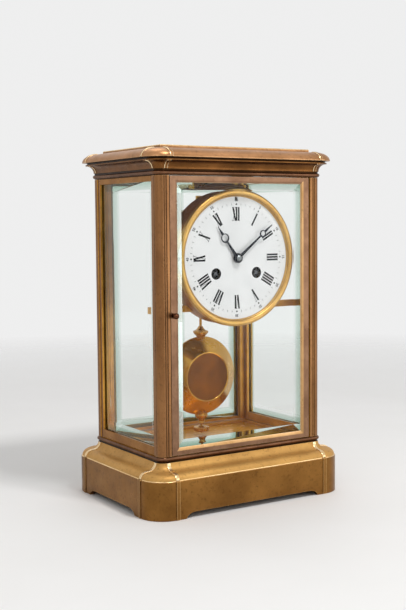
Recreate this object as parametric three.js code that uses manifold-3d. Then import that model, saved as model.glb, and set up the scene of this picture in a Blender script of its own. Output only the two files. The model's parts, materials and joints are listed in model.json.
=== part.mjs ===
// A four-glass clock: a moulded brass case with bevelled glasses and two doors, a round striking
// movement behind an enamel dial, and a pendulum with a bob of two cones.
// Millimetres. X runs to the right seen from the front, Y to the back and Z up. The origin is the
// middle of the foot.
import * as THREE from 'three';
import { mergeVertices } from 'three/addons/utils/BufferGeometryUtils.js';
import Module from 'manifold-3d';

const wasm = await Module();
wasm.setup();

// Clearances
const GAP = 0.3; // between pieces that rest on or in each other
const RUN = 0.3; // round an arbor in its hole

const ROUND = 32; // sides of the large rounds: dial, bezel, ring and bob

// Case
const HALF_WIDTH = 79; // to the outer faces of the pillars
const HALF_DEPTH = 55;
const CORNER = 5.4; // radius of a pillar's outer corner
const PILLAR_LENGTH = 219.2;
const WALL = 3.2; // thickness of the cast base's skirt

// Base, from the foot up
const SKIRT_HEIGHT = 30.4;
const SKIRT_OUT = 15.1; // how far the skirt stands out from the pillars' faces
const LEDGE_RISE = 0.6;
const LEDGE_IN = 0.9;
const BASE_OVOLO_RISE = 5;
const BASE_OVOLO_OUT = 7.6; // how far out its upper end is
const BASE_COVE_RISE = 6.2;
const BASE_COVE_OUT = 0.4;
const BASE_NECK_RISE = 1.4;
const TORUS_RADIUS = 1.5;
const DECK_SINK = 2; // the polished deck lies this far under the torus
const DECK_THICK = 3;
const DECK_INSET = 11.5; // from the pillars' faces to the edge of the deck and of the cornice's opening

// Cornice, from its underside up
const LIP_RISE = 0.4;
const CORNICE_NECK_RISE = 1.4;
const CAVETTO_RISE = 6.2;
const CAVETTO_OUT = 7;
const FILLET_RISE = 1;
const FILLET_OUT = 7.6;
const QUIRK_RISE = 1.6;
const QUIRK_OUT = 6.4;
const CORNICE_OVOLO_RISE = 7.2;
const CORNICE_OVOLO_OUT = 10.4;
const SLAB_INSET = 6.8;
const SLAB_RISE = 2.8;
const CROWN_THICK = 6;

// Upright ribs of the mouldings
const RIB_INSET = 7; // from the pillars' outer faces
const RIB_WIDTH = 3;
const RIB_PROUD = 0.65;

// Arches cut under the skirt
const FRONT_ARCH_HALF = 64.5;
const SIDE_ARCH_HALF = 39;
const ARCH_RISE = 4.8;
const ARCH_END = 9; // length of the curved end

// Pillars, measured inwards from the outer corner
const FACE_WIDTH = 10.4; // seen from the front, up to the door's gap
const SIDE_WIDTH = 11.5; // seen from the side, up to the glass
const STOP_REACH = 3.2; // how far the door stop stands past the face
const STOP_THICK = 2;
const BEAD = 1.6;
const GROOVE = 0.6;
const BEAD_AT = 5.9; // start of the bead

// Side glasses and rails
const SIDE_GLASS_IN = 3; // outer face, from the pillars' outer face
const SIDE_GLASS_THICK = 3.2;
const SIDE_GLASS_SEAT = 2.4; // how far its edge goes into pillar and rail
const RAIL_HIGH = 7;
const TOP_RAIL_HIGH = 4.5;
const RAIL_THICK = 7.6;
const RAIL_IN = 0.9;
const BEVEL_DROP = 2; // how much thinner the side glass is at its edge

// Doors
const DOOR_GAP = 0.6;
const DOOR_END_GAP = 0.3;
const DOOR_THICK = 5;
const STOP_DEEP = DOOR_THICK + 0.8; // where a pillar's door stop starts, behind the door
const FREE_STILE = 4.3; // flat part of each bar of the frame
const HINGE_STILE = 6.7;
const BOTTOM_BAR = 3.6;
const TOP_BAR = 2.6;
const BAR_SLOPE = 2.6;
const SLOPE_DEEP = 0.9;
const LIP_THICK = 0.4;
const DOOR_GLASS_THICK = 4;
const DOOR_GLASS_SEAT = 3;
const DOOR_BEVEL = 8.5;
const DOOR_BEVEL_DROP = 2.9;
const HINGE_ROUND = 1.8; // radius of the hinge edge round its pin
const HINGE_PIN = 1;
const HINGE_PIN_LONG = 2;
const KNOB_HEIGHT = 157.5;
const KNOB_SHAFT = 0.9;
const KNOB_IN = 1.9; // from the frame's free edge
const KNOB_BALL = 2.5;
const LATCH_LONG = 6.6;
const LATCH_HALF = 1.5;
const LATCH_THICK = 1.2;

// Dial, bezel and movement ring, measured from the dial's centre, with Y from the middle of the case
const DIAL_HEIGHT = 200.5;
const DIAL_SIGHT = 50.2; // radius of the dial that shows
const DIAL_HIDDEN = 2.3; // how far it goes under the bezel
const DIAL_FRONT = -43.8;
const DIAL_THICK = 1.5;
const BEZEL_WIDE = 5.4;
const BEZEL_PROUD = 4.5;
const RING_OUTER = DIAL_SIGHT + 4.4;
const RING_WALL = 1.8;
const RING_BACK = -24;
const FLANGE_THICK = 1.2;
const FLANGE_INNER = 40;
const WINDING_HOLE = 4.6;
const REGULATOR_AT = DIAL_SIGHT - 1.9;
const REGULATOR_RADIUS = 1;

// Movement plates
const PLATE_RADIUS = 44;
const PLATE_THICK = 2.4;
const FRONT_PLATE_FRONT = -32;
const BACK_PLATE_FRONT = 0.4;
const PLATE_PILLAR = 2.2;
const PLATE_PILLARS = [[29, 25], [-29, 25], [22, -34], [-22, -34]];

// Arbors
const ARBOR = 0.9;
const PIVOT = 0.55;
const PIVOT_LONG = 1.8;
const END_SHAKE = 0.3;
const BARREL_AT = [19.8, -12.4];
const BARREL_RADIUS = 15.5;
const BARREL_FRONT = -25;
const BARREL_BACK = -11;
const WINDING_ARBOR = 2;
const WINDING_SQUARE = 1.5;
const WINDING_END = -42.9;

// Toothed wheels: number of teeth and module, which is the pitch diameter over the number of teeth
const GREAT = { teeth: 52, module: 0.692 };
const SECOND_PINION = { teeth: 8, module: 0.692 };
const SECOND = { teeth: 48, module: 0.625 };
const CENTRE_PINION = { teeth: 8, module: 0.625 };
const CENTRE = { teeth: 72, module: 0.34 };
const THIRD_PINION = { teeth: 6, module: 0.34 };
const THIRD = { teeth: 84, module: 0.28 };
const ESCAPE_PINION = { teeth: 6, module: 0.28 };
const PIN_PINION = { teeth: 6, module: 0.625 };
const PIN = { teeth: 36, module: 0.45 };
const FLY_PINION = { teeth: 6, module: 0.45 };
const CANNON = { teeth: 8, module: 0.625 };
const MINUTE = { teeth: 24, module: 0.625 };
const MINUTE_PINION = { teeth: 6, module: 2 / 3 };
const HOUR = { teeth: 24, module: 2 / 3 };
const ADDENDUM = 0.7; // tooth height over the pitch circle, in modules
const DEDENDUM = 1.3;
const WHEEL_THICK = 1.2;
const PINION_THICK = 2.6;

// Layers of the trains: the front face of each wheel
const GREAT_THICK = 1.4;
const GREAT_LAYER = BARREL_BACK - 0.2; // behind the going drum
const STRIKE_GREAT_LAYER = BARREL_FRONT + 0.2 - GREAT_THICK; // in front of the drum, clear of the other
const SECOND_LAYER = -7.6;
const STRIKE_SECOND_LAYER = -4.6;
const CENTRE_LAYER = -28.2;
const THIRD_LAYER = -2.4;
const ESCAPE_LAYER = -17;
const PIN_LAYER = -8;
const MINUTE_LAYER = -33.8;
const HOUR_LAYER = -36.2;
const RATCHET_LAYER = -34.8;

// Escapement and pendulum
const ESCAPE_AT = 13.5;
const ESCAPE_TEETH = 30;
const ESCAPE_RADIUS = 8.5;
const PALLETS_CLEAR = 1; // from the wheel's tips at rest, so that neither nib reaches a tooth at full swing
const PENDULUM_Y = 12;
const ROD_RADIUS = 1.1;
const BOB_DROP = 103; // from the dial's centre to the bob's
const BOB_RADIUS = 34;
const BOB_FLAT = BOB_RADIUS - 13;
const BOB_HALF_THICK = 11.5;
const BOB_RIM = 0.6; // half thickness of the rim
// Heights over the bob's centre
const TOP_FERRULE = { radius: 6.5, bottom: BOB_RADIUS - 3.7, top: BOB_RADIUS + 8.8 };
const LOWER_FERRULE = { radius: 5.7, bottom: -BOB_RADIUS - 8.2, top: 3.7 - BOB_RADIUS };
const RATING_NUT = { radius: 6.8, bottom: -BOB_RADIUS - 14.5, top: -BOB_RADIUS - 9.5 };

// Bell and hammer
const BELL_RADIUS = 36;
const BELL_MOUTH = 18;
const BELL_DEEP = 18;
const BELL_THICK = 1.4;
const BELL_CENTRE = 4.5;
const STAND_AT = [24, 10];
const HAMMER_AT = [17.2, -37.1];
const COUNT_RADIUS = 14;
const COUNT_LAYER = 4;
const FLY_RADIUS = 7.5;

// Hands: turned from 12 as photographed, clockwise
const MINUTE_ANGLE = 51.3;
const HOUR_ANGLE = -36.4;
const MINUTE_HAND = { length: 43.3, moon: 31, ring: 3, front: -47 };
const HOUR_HAND = { length: 31.5, moon: 20.2, ring: 3.8, front: -45.6 };
const HAND_THICK = 0.5;
const HAND_HUB = 4;

// Heights that follow from the sizes above
const OVOLO_BOTTOM = SKIRT_HEIGHT + LEDGE_RISE;
const COVE_BOTTOM = OVOLO_BOTTOM + BASE_OVOLO_RISE;
const NECK_BOTTOM = COVE_BOTTOM + BASE_COVE_RISE;
const TORUS_BOTTOM = NECK_BOTTOM + BASE_NECK_RISE;
const BASE_TOP = TORUS_BOTTOM + 2 * TORUS_RADIUS;
const DECK_TOP = BASE_TOP - DECK_SINK;
const PILLAR_BOTTOM = BASE_TOP + GAP;
const PILLAR_TOP = PILLAR_BOTTOM + PILLAR_LENGTH;
const CORNICE_BOTTOM = PILLAR_TOP + GAP;
const ASTRAGAL_BOTTOM = CORNICE_BOTTOM + LIP_RISE;
const CAVETTO_BOTTOM = ASTRAGAL_BOTTOM + 2 * TORUS_RADIUS + CORNICE_NECK_RISE;
const FILLET_BOTTOM = CAVETTO_BOTTOM + CAVETTO_RISE;
const QUIRK_BOTTOM = FILLET_BOTTOM + FILLET_RISE;
const CORNICE_OVOLO_BOTTOM = QUIRK_BOTTOM + QUIRK_RISE;
const SLAB_BOTTOM = CORNICE_OVOLO_BOTTOM + CORNICE_OVOLO_RISE;
const TOP = SLAB_BOTTOM + SLAB_RISE;
const DOOR_HALF = HALF_WIDTH - FACE_WIDTH - DOOR_GAP;
const HINGE_X = DOOR_HALF - HINGE_ROUND;
const HINGE_Y = -HALF_DEPTH + HINGE_ROUND;
const DOOR_BOTTOM = PILLAR_BOTTOM + DOOR_END_GAP;
const DOOR_TOP = PILLAR_TOP - DOOR_END_GAP;
const DIAL_BACK = DIAL_FRONT + DIAL_THICK;
const DIAL_RADIUS = DIAL_SIGHT + DIAL_HIDDEN;
const RING_FRONT = DIAL_BACK + GAP;
const FRONT_PLATE_BACK = FRONT_PLATE_FRONT + PLATE_THICK;
const BACK_PLATE_BACK = BACK_PLATE_FRONT + PLATE_THICK;
const PALLETS_AT = ESCAPE_AT + ESCAPE_RADIUS * Math.SQRT2;

// Finishes
const finish = (color, roughness, metalness) => (
  new THREE.MeshStandardMaterial({ color, roughness, metalness })
);
const AGED_BRASS = finish(0x8d7444, 0.38, 1);
const DEEP_BRASS = finish(0x9a6c2c, 0.3, 1);
const GILT = finish(0xc79a4b, 0.25, 1);
const WHEEL_BRASS = finish(0xb98f45, 0.35, 1);
const STEEL = finish(0x8b8d90, 0.3, 1);
const BLUED_STEEL = finish(0x1d2027, 0.3, 1);
const BELL_METAL = finish(0xa89a78, 0.35, 1);
const ENAMEL = finish(0xf1f0ea, 0.2, 0);
const GLASS = finish(0xdfe9e4, 0.03, 0);
GLASS.transparent = true;
GLASS.opacity = 0.3;

// Solids

// A closed mesh as a solid, turned so that its faces point outwards.
function solid(geometry) {
  const bare = geometry.clone();
  bare.deleteAttribute('normal');
  bare.deleteAttribute('uv');
  const merged = mergeVertices(bare, 1e-4);
  const places = merged.attributes.position.array;
  const corners = merged.index.array;
  const faces = [];
  let volume = 0;
  for (let i = 0; i < corners.length; i += 3) {
    const [a, b, c] = [corners[i], corners[i + 1], corners[i + 2]];
    if (a === b || b === c || c === a) continue;
    faces.push([a, b, c]);
    const [p, q, r] = [a, b, c].map((k) => new THREE.Vector3().fromArray(places, 3 * k));
    volume += p.dot(q.cross(r));
  }
  if (volume < 0) faces.forEach((face) => face.reverse());
  return new wasm.Manifold(new wasm.Mesh({
    numProp: 3,
    vertProperties: Float32Array.from(places),
    triVerts: Uint32Array.from(faces.flat()),
  }));
}

function mesh(name, body, material, place = [0, 0, 0], turn = 0) {
  const { vertProperties, triVerts } = body.getMesh();
  const geometry = new THREE.BufferGeometry();
  geometry.setAttribute('position', new THREE.BufferAttribute(vertProperties, 3));
  geometry.setIndex(new THREE.BufferAttribute(triVerts, 1));
  geometry.computeVertexNormals();
  const piece = new THREE.Mesh(geometry, material);
  piece.name = name;
  piece.position.set(...place);
  piece.rotation.y = turn;
  return piece;
}

const union = (...bodies) => bodies.reduce((whole, body) => whole.add(body));
const moved = (body, x, y, z) => body.translate([x, y, z]);

function box(x0, x1, y0, y1, z0, z1) {
  const geometry = new THREE.BoxGeometry(x1 - x0, y1 - y0, z1 - z0);
  return solid(geometry.translate((x0 + x1) / 2, (y0 + y1) / 2, (z0 + z1) / 2));
}

// An outline in X and Y, raised along Z.
function standing(points, z0, z1) {
  const shape = new THREE.Shape(points.map(([x, y]) => new THREE.Vector2(x, y)));
  return solid(new THREE.ExtrudeGeometry(shape, { depth: z1 - z0, bevelEnabled: false }).translate(0, 0, z0));
}

// An outline in X and Z with holes, made thick along Y.
function flat(points, y0, y1, holes = []) {
  const shape = new THREE.Shape(points.map(([x, z]) => new THREE.Vector2(x, z)));
  shape.holes = holes.map((loop) => new THREE.Path(loop.map(([x, z]) => new THREE.Vector2(x, z))));
  const options = { depth: y1 - y0, bevelEnabled: false, curveSegments: 1 };
  const geometry = new THREE.ExtrudeGeometry(shape, options);
  return solid(geometry.rotateX(Math.PI / 2).translate(0, y1, 0));
}

// A profile of [radius, y] turned about the Y axis.
function turned(profile, sides = 16) {
  return solid(new THREE.LatheGeometry(profile.map(([r, y]) => new THREE.Vector2(r, y)), sides));
}

// A profile of [radius, z] turned about the Z axis.
function turnedUpright(profile, sides = 16) {
  const points = profile.map(([r, z]) => new THREE.Vector2(r, z));
  return solid(new THREE.LatheGeometry(points, sides).rotateX(Math.PI / 2));
}

const rod = (radius, y0, y1, sides = 8) => turned([[0, y0], [radius, y0], [radius, y1], [0, y1]], sides);

const uprightRod = (radius, z0, z1, sides = 8) => (
  turnedUpright([[0, z0], [radius, z0], [radius, z1], [0, z1]], sides)
);

const ringBand = (inner, outer, y0, y1, sides = 12) => (
  turned([[inner, y0], [outer, y0], [outer, y1], [inner, y1], [inner, y0]], sides)
);

// Points of an arc, both ends included, with angles from the first axis towards the second.
function arc(cx, cy, radius, from, to, steps) {
  return Array.from({ length: steps + 1 }, (_, i) => {
    const angle = from + ((to - from) * i) / steps;
    return [cx + radius * Math.cos(angle), cy + radius * Math.sin(angle)];
  });
}

const circle = (cx, cz, radius, sides = 8) => (
  arc(cx, cz, radius, 0, 2 * Math.PI * (1 - 1 / sides), sides - 1)
);

// A round hole or bore, drawn so that its flats lie at the radius given.
const hole = (cx, cz, radius, sides = 6) => circle(cx, cz, radius / Math.cos(Math.PI / sides), sides);
const bore = (radius, y0, y1, sides = 8) => rod(radius / Math.cos(Math.PI / sides), y0, y1, sides);
const uprightBore = (radius, z0, z1, sides = 8) => (
  uprightRod(radius / Math.cos(Math.PI / sides), z0, z1, sides)
);

// Mouldings

// One level of a moulding: the case's plan, grown by offset, with any ribs standing proud of it.
function plan(offset, proud = 0) {
  const radius = Math.max(CORNER + offset, 0.5);
  const right = HALF_WIDTH + offset;
  const back = HALF_DEPTH + offset;
  const rib = [[-0.5, 0], [0, proud], [0.5, 0]];
  const ribX = HALF_WIDTH - RIB_INSET;
  const ribY = HALF_DEPTH - RIB_INSET;
  const points = [];
  const corner = (sx, sy, from) => {
    points.push(...arc(sx * (right - radius), sy * (back - radius), radius, from, from + Math.PI / 2, 3));
  };
  const ribs = proud ? rib : [];
  const alongY = (side, y, way) => {
    ribs.forEach(([t, out]) => points.push([side * (right + out), y + way * t * RIB_WIDTH]));
  };
  const alongX = (side, x, way) => {
    ribs.forEach(([t, out]) => points.push([x + way * t * RIB_WIDTH, side * (back + out)]));
  };
  alongY(1, -ribY, 1);
  alongY(1, ribY, 1);
  corner(1, 1, 0);
  alongX(1, ribX, -1);
  alongX(1, -ribX, -1);
  corner(-1, 1, Math.PI / 2);
  alongY(-1, ribY, -1);
  alongY(-1, -ribY, -1);
  corner(-1, -1, Math.PI);
  alongX(-1, -ribX, 1);
  alongX(-1, ribX, 1);
  corner(1, -1, 1.5 * Math.PI);
  return points;
}

// A stack of levels [offset, height, rib height], skinned and closed at both ends.
function stack(levels) {
  const rows = levels.map(([offset, height, proud]) => plan(offset, proud).map(([x, y]) => [x, y, height]));
  const count = rows[0].length;
  const places = [...rows.flat(), [0, 0, levels[0][1]], [0, 0, levels.at(-1)[1]]];
  const bottom = places.length - 2;
  const faces = [];
  for (let j = 0; j < count; j += 1) {
    const next = (j + 1) % count;
    for (let i = 0; i < rows.length - 1; i += 1) {
      const [a, b] = [i * count + j, i * count + next];
      faces.push(a, b, b + count, a, b + count, a + count);
    }
    const last = (rows.length - 1) * count;
    faces.push(bottom, next, j, bottom + 1, last + j, last + next);
  }
  const geometry = new THREE.BufferGeometry();
  geometry.setAttribute('position', new THREE.Float32BufferAttribute(places.flat(), 3));
  geometry.setIndex(faces);
  return solid(geometry);
}

// Stacks that stand in each other, each of them with ribs or without.
const moulding = (...stacks) => union(...stacks.map(stack));

// A quarter ellipse between two points of a profile, leaving the first one upright or level.
function quarter([d0, z0], [d1, z1], upright, proud, steps = 3) {
  return Array.from({ length: steps + 1 }, (_, i) => {
    const t = (i / steps) * (Math.PI / 2);
    if (upright) return [d1 + (d0 - d1) * Math.cos(t), z0 + (z1 - z0) * Math.sin(t), proud];
    return [d0 + (d1 - d0) * Math.sin(t), z1 + (z0 - z1) * Math.cos(t), proud];
  });
}

// A half round that stands out from a neck.
function halfRound(neck, z0, radius, steps = 3) {
  return Array.from({ length: steps + 1 }, (_, i) => {
    const t = (i / steps) * Math.PI;
    return [neck + radius * Math.sin(t), z0 + radius * (1 - Math.cos(t)), 0];
  });
}

// The hollow of an arch under the skirt, half as long as given, in [along, height].
function archOutline(half) {
  const end = (side) => arc(0, 0, 1, 0, Math.PI / 2, 3).map(([x, z]) => (
    [side * (half - ARCH_END * (1 - x)), z * ARCH_RISE]
  ));
  return [[-half, -1], [half, -1], ...end(1), ...end(-1).reverse()];
}

// Case

function makeBase() {
  const ledge = SKIRT_OUT - LEDGE_IN;
  const neck = -0.2;
  const body = moulding([
    [SKIRT_OUT, 0, RIB_PROUD],
    [SKIRT_OUT, SKIRT_HEIGHT, RIB_PROUD],
    ...quarter([ledge, OVOLO_BOTTOM], [BASE_OVOLO_OUT, COVE_BOTTOM], true, RIB_PROUD),
    ...quarter([BASE_OVOLO_OUT, COVE_BOTTOM], [BASE_COVE_OUT, NECK_BOTTOM], false, RIB_PROUD).slice(1),
  ], [
    [neck, NECK_BOTTOM - 1, 0],
    ...halfRound(neck, TORUS_BOTTOM, TORUS_RADIUS),
  ]);
  const skirtRoom = standing(plan(SKIRT_OUT - WALL), -1, SKIRT_HEIGHT - WALL + 0.8);
  const upperRoom = standing(plan(-2 * WALL), -1, DECK_TOP - DECK_THICK);
  const deckRoom = standing(plan(-DECK_INSET), DECK_TOP, BASE_TOP + 1);
  const reach = HALF_WIDTH + SKIRT_OUT + 2;
  const front = flat(archOutline(FRONT_ARCH_HALF), -reach, reach);
  const side = flat(archOutline(SIDE_ARCH_HALF), -reach, reach).rotate([0, 0, 90]);
  return [skirtRoom, upperRoom, deckRoom, front, side, ...hingeHoles(BASE_TOP - HINGE_PIN_LONG - GAP)].reduce(
    (whole, room) => whole.subtract(room),
    body,
  );
}

// Holes for the two doors' lower or upper pins, from the given height up.
function hingeHoles(bottom) {
  const socket = uprightBore(HINGE_PIN + RUN, bottom, bottom + HINGE_PIN_LONG + 1);
  return [moved(socket, HINGE_X, HINGE_Y, 0), moved(socket, -HINGE_X, -HINGE_Y, 0)];
}

function makeCornice() {
  const neck = 0.1;
  const body = moulding([
    [neck, CORNICE_BOTTOM, 0],
    ...halfRound(neck, ASTRAGAL_BOTTOM, TORUS_RADIUS),
    [neck, CAVETTO_BOTTOM + 1, 0],
  ], [
    ...quarter([0.8, CAVETTO_BOTTOM], [CAVETTO_OUT, FILLET_BOTTOM], true, RIB_PROUD),
  ], [
    [FILLET_OUT, FILLET_BOTTOM - 0.1, 0],
    [FILLET_OUT, QUIRK_BOTTOM, 0],
    [QUIRK_OUT, QUIRK_BOTTOM + 0.1, 0],
    [QUIRK_OUT, CORNICE_OVOLO_BOTTOM + 1, 0],
  ], [
    ...quarter([CORNICE_OVOLO_OUT, CORNICE_OVOLO_BOTTOM], [-1.1, SLAB_BOTTOM], true, RIB_PROUD, 4),
  ]);
  const slab = standing(plan(-SLAB_INSET), SLAB_BOTTOM - 1, TOP);
  const room = standing(plan(-DECK_INSET), CORNICE_BOTTOM - 1, TOP - CROWN_THICK);
  const holes = hingeHoles(CORNICE_BOTTOM - 1).map((socket) => moved(socket, 0, 0, GAP));
  return [room, ...holes].reduce((whole, cut) => whole.subtract(cut), body.add(slab));
}

// A pillar's section, in distances inwards from its outer corner: along the face and into the depth.
function pillarOutline() {
  const lipEnd = SIDE_GLASS_IN - GAP;
  const slotEnd = SIDE_GLASS_IN + SIDE_GLASS_THICK + GAP;
  const slotStart = SIDE_WIDTH - SIDE_GLASS_SEAT - GAP;
  const innerEnd = slotEnd + 2.2;
  const beadEnd = BEAD_AT + BEAD;
  const stopEnd = FACE_WIDTH + STOP_REACH;
  const sideStep = SIDE_WIDTH - 3.1;
  return [
    ...arc(CORNER, CORNER, CORNER, Math.PI, 1.5 * Math.PI, 4),
    [CORNER + 0.1, GROOVE], [BEAD_AT, GROOVE],
    ...arc(BEAD_AT + BEAD / 2, GROOVE, BEAD / 2, Math.PI, 2 * Math.PI, 4).slice(1, -1),
    [beadEnd, GROOVE], [beadEnd + 0.6, GROOVE], [beadEnd + 0.7, 0], [FACE_WIDTH, 0],
    [FACE_WIDTH, STOP_DEEP], [stopEnd, STOP_DEEP], [stopEnd, STOP_DEEP + STOP_THICK],
    [innerEnd, STOP_DEEP + STOP_THICK], [innerEnd, SIDE_WIDTH], [slotEnd, SIDE_WIDTH],
    [slotEnd, slotStart], [lipEnd, slotStart], [lipEnd, SIDE_WIDTH], [RAIL_IN, SIDE_WIDTH],
    [RAIL_IN, sideStep], [0, sideStep - 0.4], [0, CORNER + 0.6],
    [GROOVE, CORNER + 0.5], [GROOVE, CORNER + 0.1],
  ];
}

// The slot in a pillar that the latch turns into, as the outline is measured.
function latchSlot() {
  const front = DOOR_THICK - 0.2;
  const back = DOOR_THICK + LATCH_THICK + 0.7;
  const knob = FACE_WIDTH + DOOR_GAP + KNOB_IN;
  const low = KNOB_HEIGHT - PILLAR_BOTTOM - LATCH_LONG - 1.6;
  const high = KNOB_HEIGHT - PILLAR_BOTTOM + LATCH_LONG + 1.6;
  return box(knob - LATCH_LONG - 0.5, FACE_WIDTH + STOP_REACH + 1, front, back, low, high);
}

function makePillar(sx, sy, latched) {
  const outline = pillarOutline();
  const post = standing(outline, 0, PILLAR_LENGTH);
  const body = latched ? post.subtract(latchSlot()) : post;
  return body.scale([-sx, -sy, 1]);
}

// A rail of the left side, with the groove that holds the glass, along Y.
function makeRail(high, grooveFrom, grooveTo) {
  const half = HALF_DEPTH - SIDE_WIDTH - GAP;
  const bar = box(0, RAIL_THICK, -half, half, 0, high);
  const groove = box(
    SIDE_GLASS_IN - GAP - RAIL_IN,
    SIDE_GLASS_IN + SIDE_GLASS_THICK + GAP - RAIL_IN,
    -half - 1,
    half + 1,
    grooveFrom,
    grooveTo,
  );
  return bar.subtract(groove);
}

// A bevelled pane that stands in X and Z: thick along Y, with the bevel on its +Y face.
function pane(x0, x1, z0, z1, thick, bevel, drop) {
  const bevelAngle = Math.atan2(drop, bevel);
  const cut = bevel + 1;
  const wedge = (length) => standing(
    [[0, thick - drop], [cut, thick - drop + cut * Math.tan(bevelAngle)], [cut, thick + 3], [0, thick + 3]],
    -length,
    length,
  );
  const upright = wedge(z1 - z0);
  const level = wedge(x1 - x0).rotate([0, 90, 0]).mirror([0, 0, 1]);
  const body = box(x0, x1, 0, thick, z0, z1);
  return [
    moved(upright, x0, 0, (z0 + z1) / 2),
    moved(upright.mirror([1, 0, 0]), x1, 0, (z0 + z1) / 2),
    moved(level, (x0 + x1) / 2, 0, z0),
    moved(level.mirror([0, 0, 1]), (x0 + x1) / 2, 0, z1),
  ].reduce((whole, cutter) => whole.subtract(cutter), body);
}

function makeSideGlass() {
  const half = HALF_DEPTH - SIDE_WIDTH + SIDE_GLASS_SEAT;
  const bottom = PILLAR_BOTTOM + RAIL_HIGH - SIDE_GLASS_SEAT;
  const top = PILLAR_TOP - TOP_RAIL_HIGH + SIDE_GLASS_SEAT;
  const sight = 8;
  const body = pane(-half, half, bottom, top, SIDE_GLASS_THICK, sight + SIDE_GLASS_SEAT, BEVEL_DROP);
  return body.rotate([0, 0, -90]);
}

function makeBracket() {
  const low = -43;
  const high = -37.5;
  const [front, back] = [-31, -28.5];
  const outer = HALF_WIDTH - SIDE_GLASS_IN - SIDE_GLASS_THICK - 2 * GAP;
  const inner = outer - 2.5;
  const pillarEnd = -HALF_DEPTH + SIDE_WIDTH + GAP;
  const outline = [
    [-30, front], [-30, back], [-outer, back], [-outer, pillarEnd], [-inner, pillarEnd], [-inner, front],
  ];
  return standing(outline, low, high).subtract(rod(RING_OUTER + GAP, front - 1, back + 1, 72));
}

function makeCase() {
  const group = new THREE.Group();
  group.add(mesh('base', makeBase(), AGED_BRASS));
  group.add(mesh('cornice', makeCornice(), AGED_BRASS));
  const corners = { front_left: [-1, -1], front_right: [1, -1], back_left: [-1, 1], back_right: [1, 1] };
  Object.entries(corners).forEach(([name, [sx, sy]]) => {
    const place = [sx * HALF_WIDTH, sy * HALF_DEPTH, PILLAR_BOTTOM];
    group.add(mesh(`pillar_${name}`, makePillar(sx, sy, sx === sy), AGED_BRASS, place));
  });
  const bottomRail = makeRail(RAIL_HIGH, RAIL_HIGH - SIDE_GLASS_SEAT - GAP, RAIL_HIGH + 1);
  const topRail = makeRail(TOP_RAIL_HIGH, -1, SIDE_GLASS_SEAT + GAP);
  const glass = makeSideGlass();
  Object.entries({ left: -1, right: 1 }).forEach(([name, side]) => {
    const half = new THREE.Group();
    half.rotation.z = side > 0 ? Math.PI : 0;
    const railX = -HALF_WIDTH + RAIL_IN;
    half.add(mesh(`rail_${name}_bottom`, bottomRail, AGED_BRASS, [railX, 0, PILLAR_BOTTOM]));
    half.add(mesh(`rail_${name}_top`, topRail, AGED_BRASS, [railX, 0, PILLAR_TOP - TOP_RAIL_HIGH]));
    half.add(mesh(`glass_${name}`, glass, GLASS, [-HALF_WIDTH + SIDE_GLASS_IN, 0, 0]));
    group.add(half);
  });
  const bracket = makeBracket();
  group.add(mesh('bracket_left', bracket, AGED_BRASS, [0, 0, DIAL_HEIGHT]));
  group.add(mesh('bracket_right', bracket.mirror([1, 0, 0]), AGED_BRASS, [0, 0, DIAL_HEIGHT]));
  return group;
}

// Doors, made as the front one stands; the back one is the same, turned half round

const SIGHT_LEFT = -DOOR_HALF + FREE_STILE + BAR_SLOPE;
const SIGHT_RIGHT = DOOR_HALF - HINGE_STILE - BAR_SLOPE;
const SIGHT_BOTTOM = DOOR_BOTTOM + BOTTOM_BAR + BAR_SLOPE - 0.3;
const SIGHT_TOP = DOOR_TOP - TOP_BAR - BAR_SLOPE;
const DOOR_FRONT = -HALF_DEPTH;
const DOOR_BACK = DOOR_FRONT + DOOR_THICK;
const LIP_BACK = DOOR_FRONT + SLOPE_DEEP + LIP_THICK;

// The frame's opening, grown by reach at the front face of the slope.
function slopedOpening() {
  const rectangle = (grow) => [
    [SIGHT_LEFT - grow, SIGHT_BOTTOM - grow], [SIGHT_RIGHT + grow, SIGHT_BOTTOM - grow],
    [SIGHT_RIGHT + grow, SIGHT_TOP + grow], [SIGHT_LEFT - grow, SIGHT_TOP + grow],
  ];
  const near = rectangle(BAR_SLOPE).map(([x, z]) => [x, DOOR_FRONT - 0.01, z]);
  const far = rectangle(0).map(([x, z]) => [x, DOOR_FRONT + SLOPE_DEEP, z]);
  const geometry = new THREE.BufferGeometry();
  geometry.setAttribute('position', new THREE.Float32BufferAttribute([...near, ...far].flat(), 3));
  const faces = [0, 1, 2, 0, 2, 3, 4, 6, 5, 4, 7, 6];
  for (let i = 0; i < 4; i += 1) {
    const next = (i + 1) % 4;
    faces.push(i, i + 4, next + 4, i, next + 4, next);
  }
  geometry.setIndex(faces);
  return solid(geometry);
}

function makeDoorFrame() {
  const slab = standing([
    [-DOOR_HALF, DOOR_FRONT],
    ...arc(HINGE_X, HINGE_Y, HINGE_ROUND, -Math.PI / 2, 0, 5),
    [DOOR_HALF, DOOR_BACK],
    [-DOOR_HALF, DOOR_BACK],
  ], DOOR_BOTTOM, DOOR_TOP);
  const through = box(SIGHT_LEFT, SIGHT_RIGHT, DOOR_FRONT - 1, DOOR_BACK + 1, SIGHT_BOTTOM, SIGHT_TOP);
  const seat = DOOR_GLASS_SEAT + GAP;
  const rebate = box(
    SIGHT_LEFT - seat,
    SIGHT_RIGHT + seat,
    LIP_BACK,
    DOOR_BACK + 1,
    SIGHT_BOTTOM - seat,
    SIGHT_TOP + seat,
  );
  const knobHole = moved(
    bore(KNOB_SHAFT + RUN, DOOR_FRONT - 1, DOOR_BACK + 1),
    -DOOR_HALF + KNOB_IN,
    0,
    KNOB_HEIGHT,
  );
  const pin = uprightRod(HINGE_PIN, -HINGE_PIN_LONG, 1);
  const lower = moved(pin, HINGE_X, HINGE_Y, DOOR_BOTTOM);
  const upper = moved(pin.mirror([0, 0, 1]), HINGE_X, HINGE_Y, DOOR_TOP);
  const cuts = [through, rebate, slopedOpening(), knobHole];
  return cuts.reduce((whole, room) => whole.subtract(room), union(slab, lower, upper));
}

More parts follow.
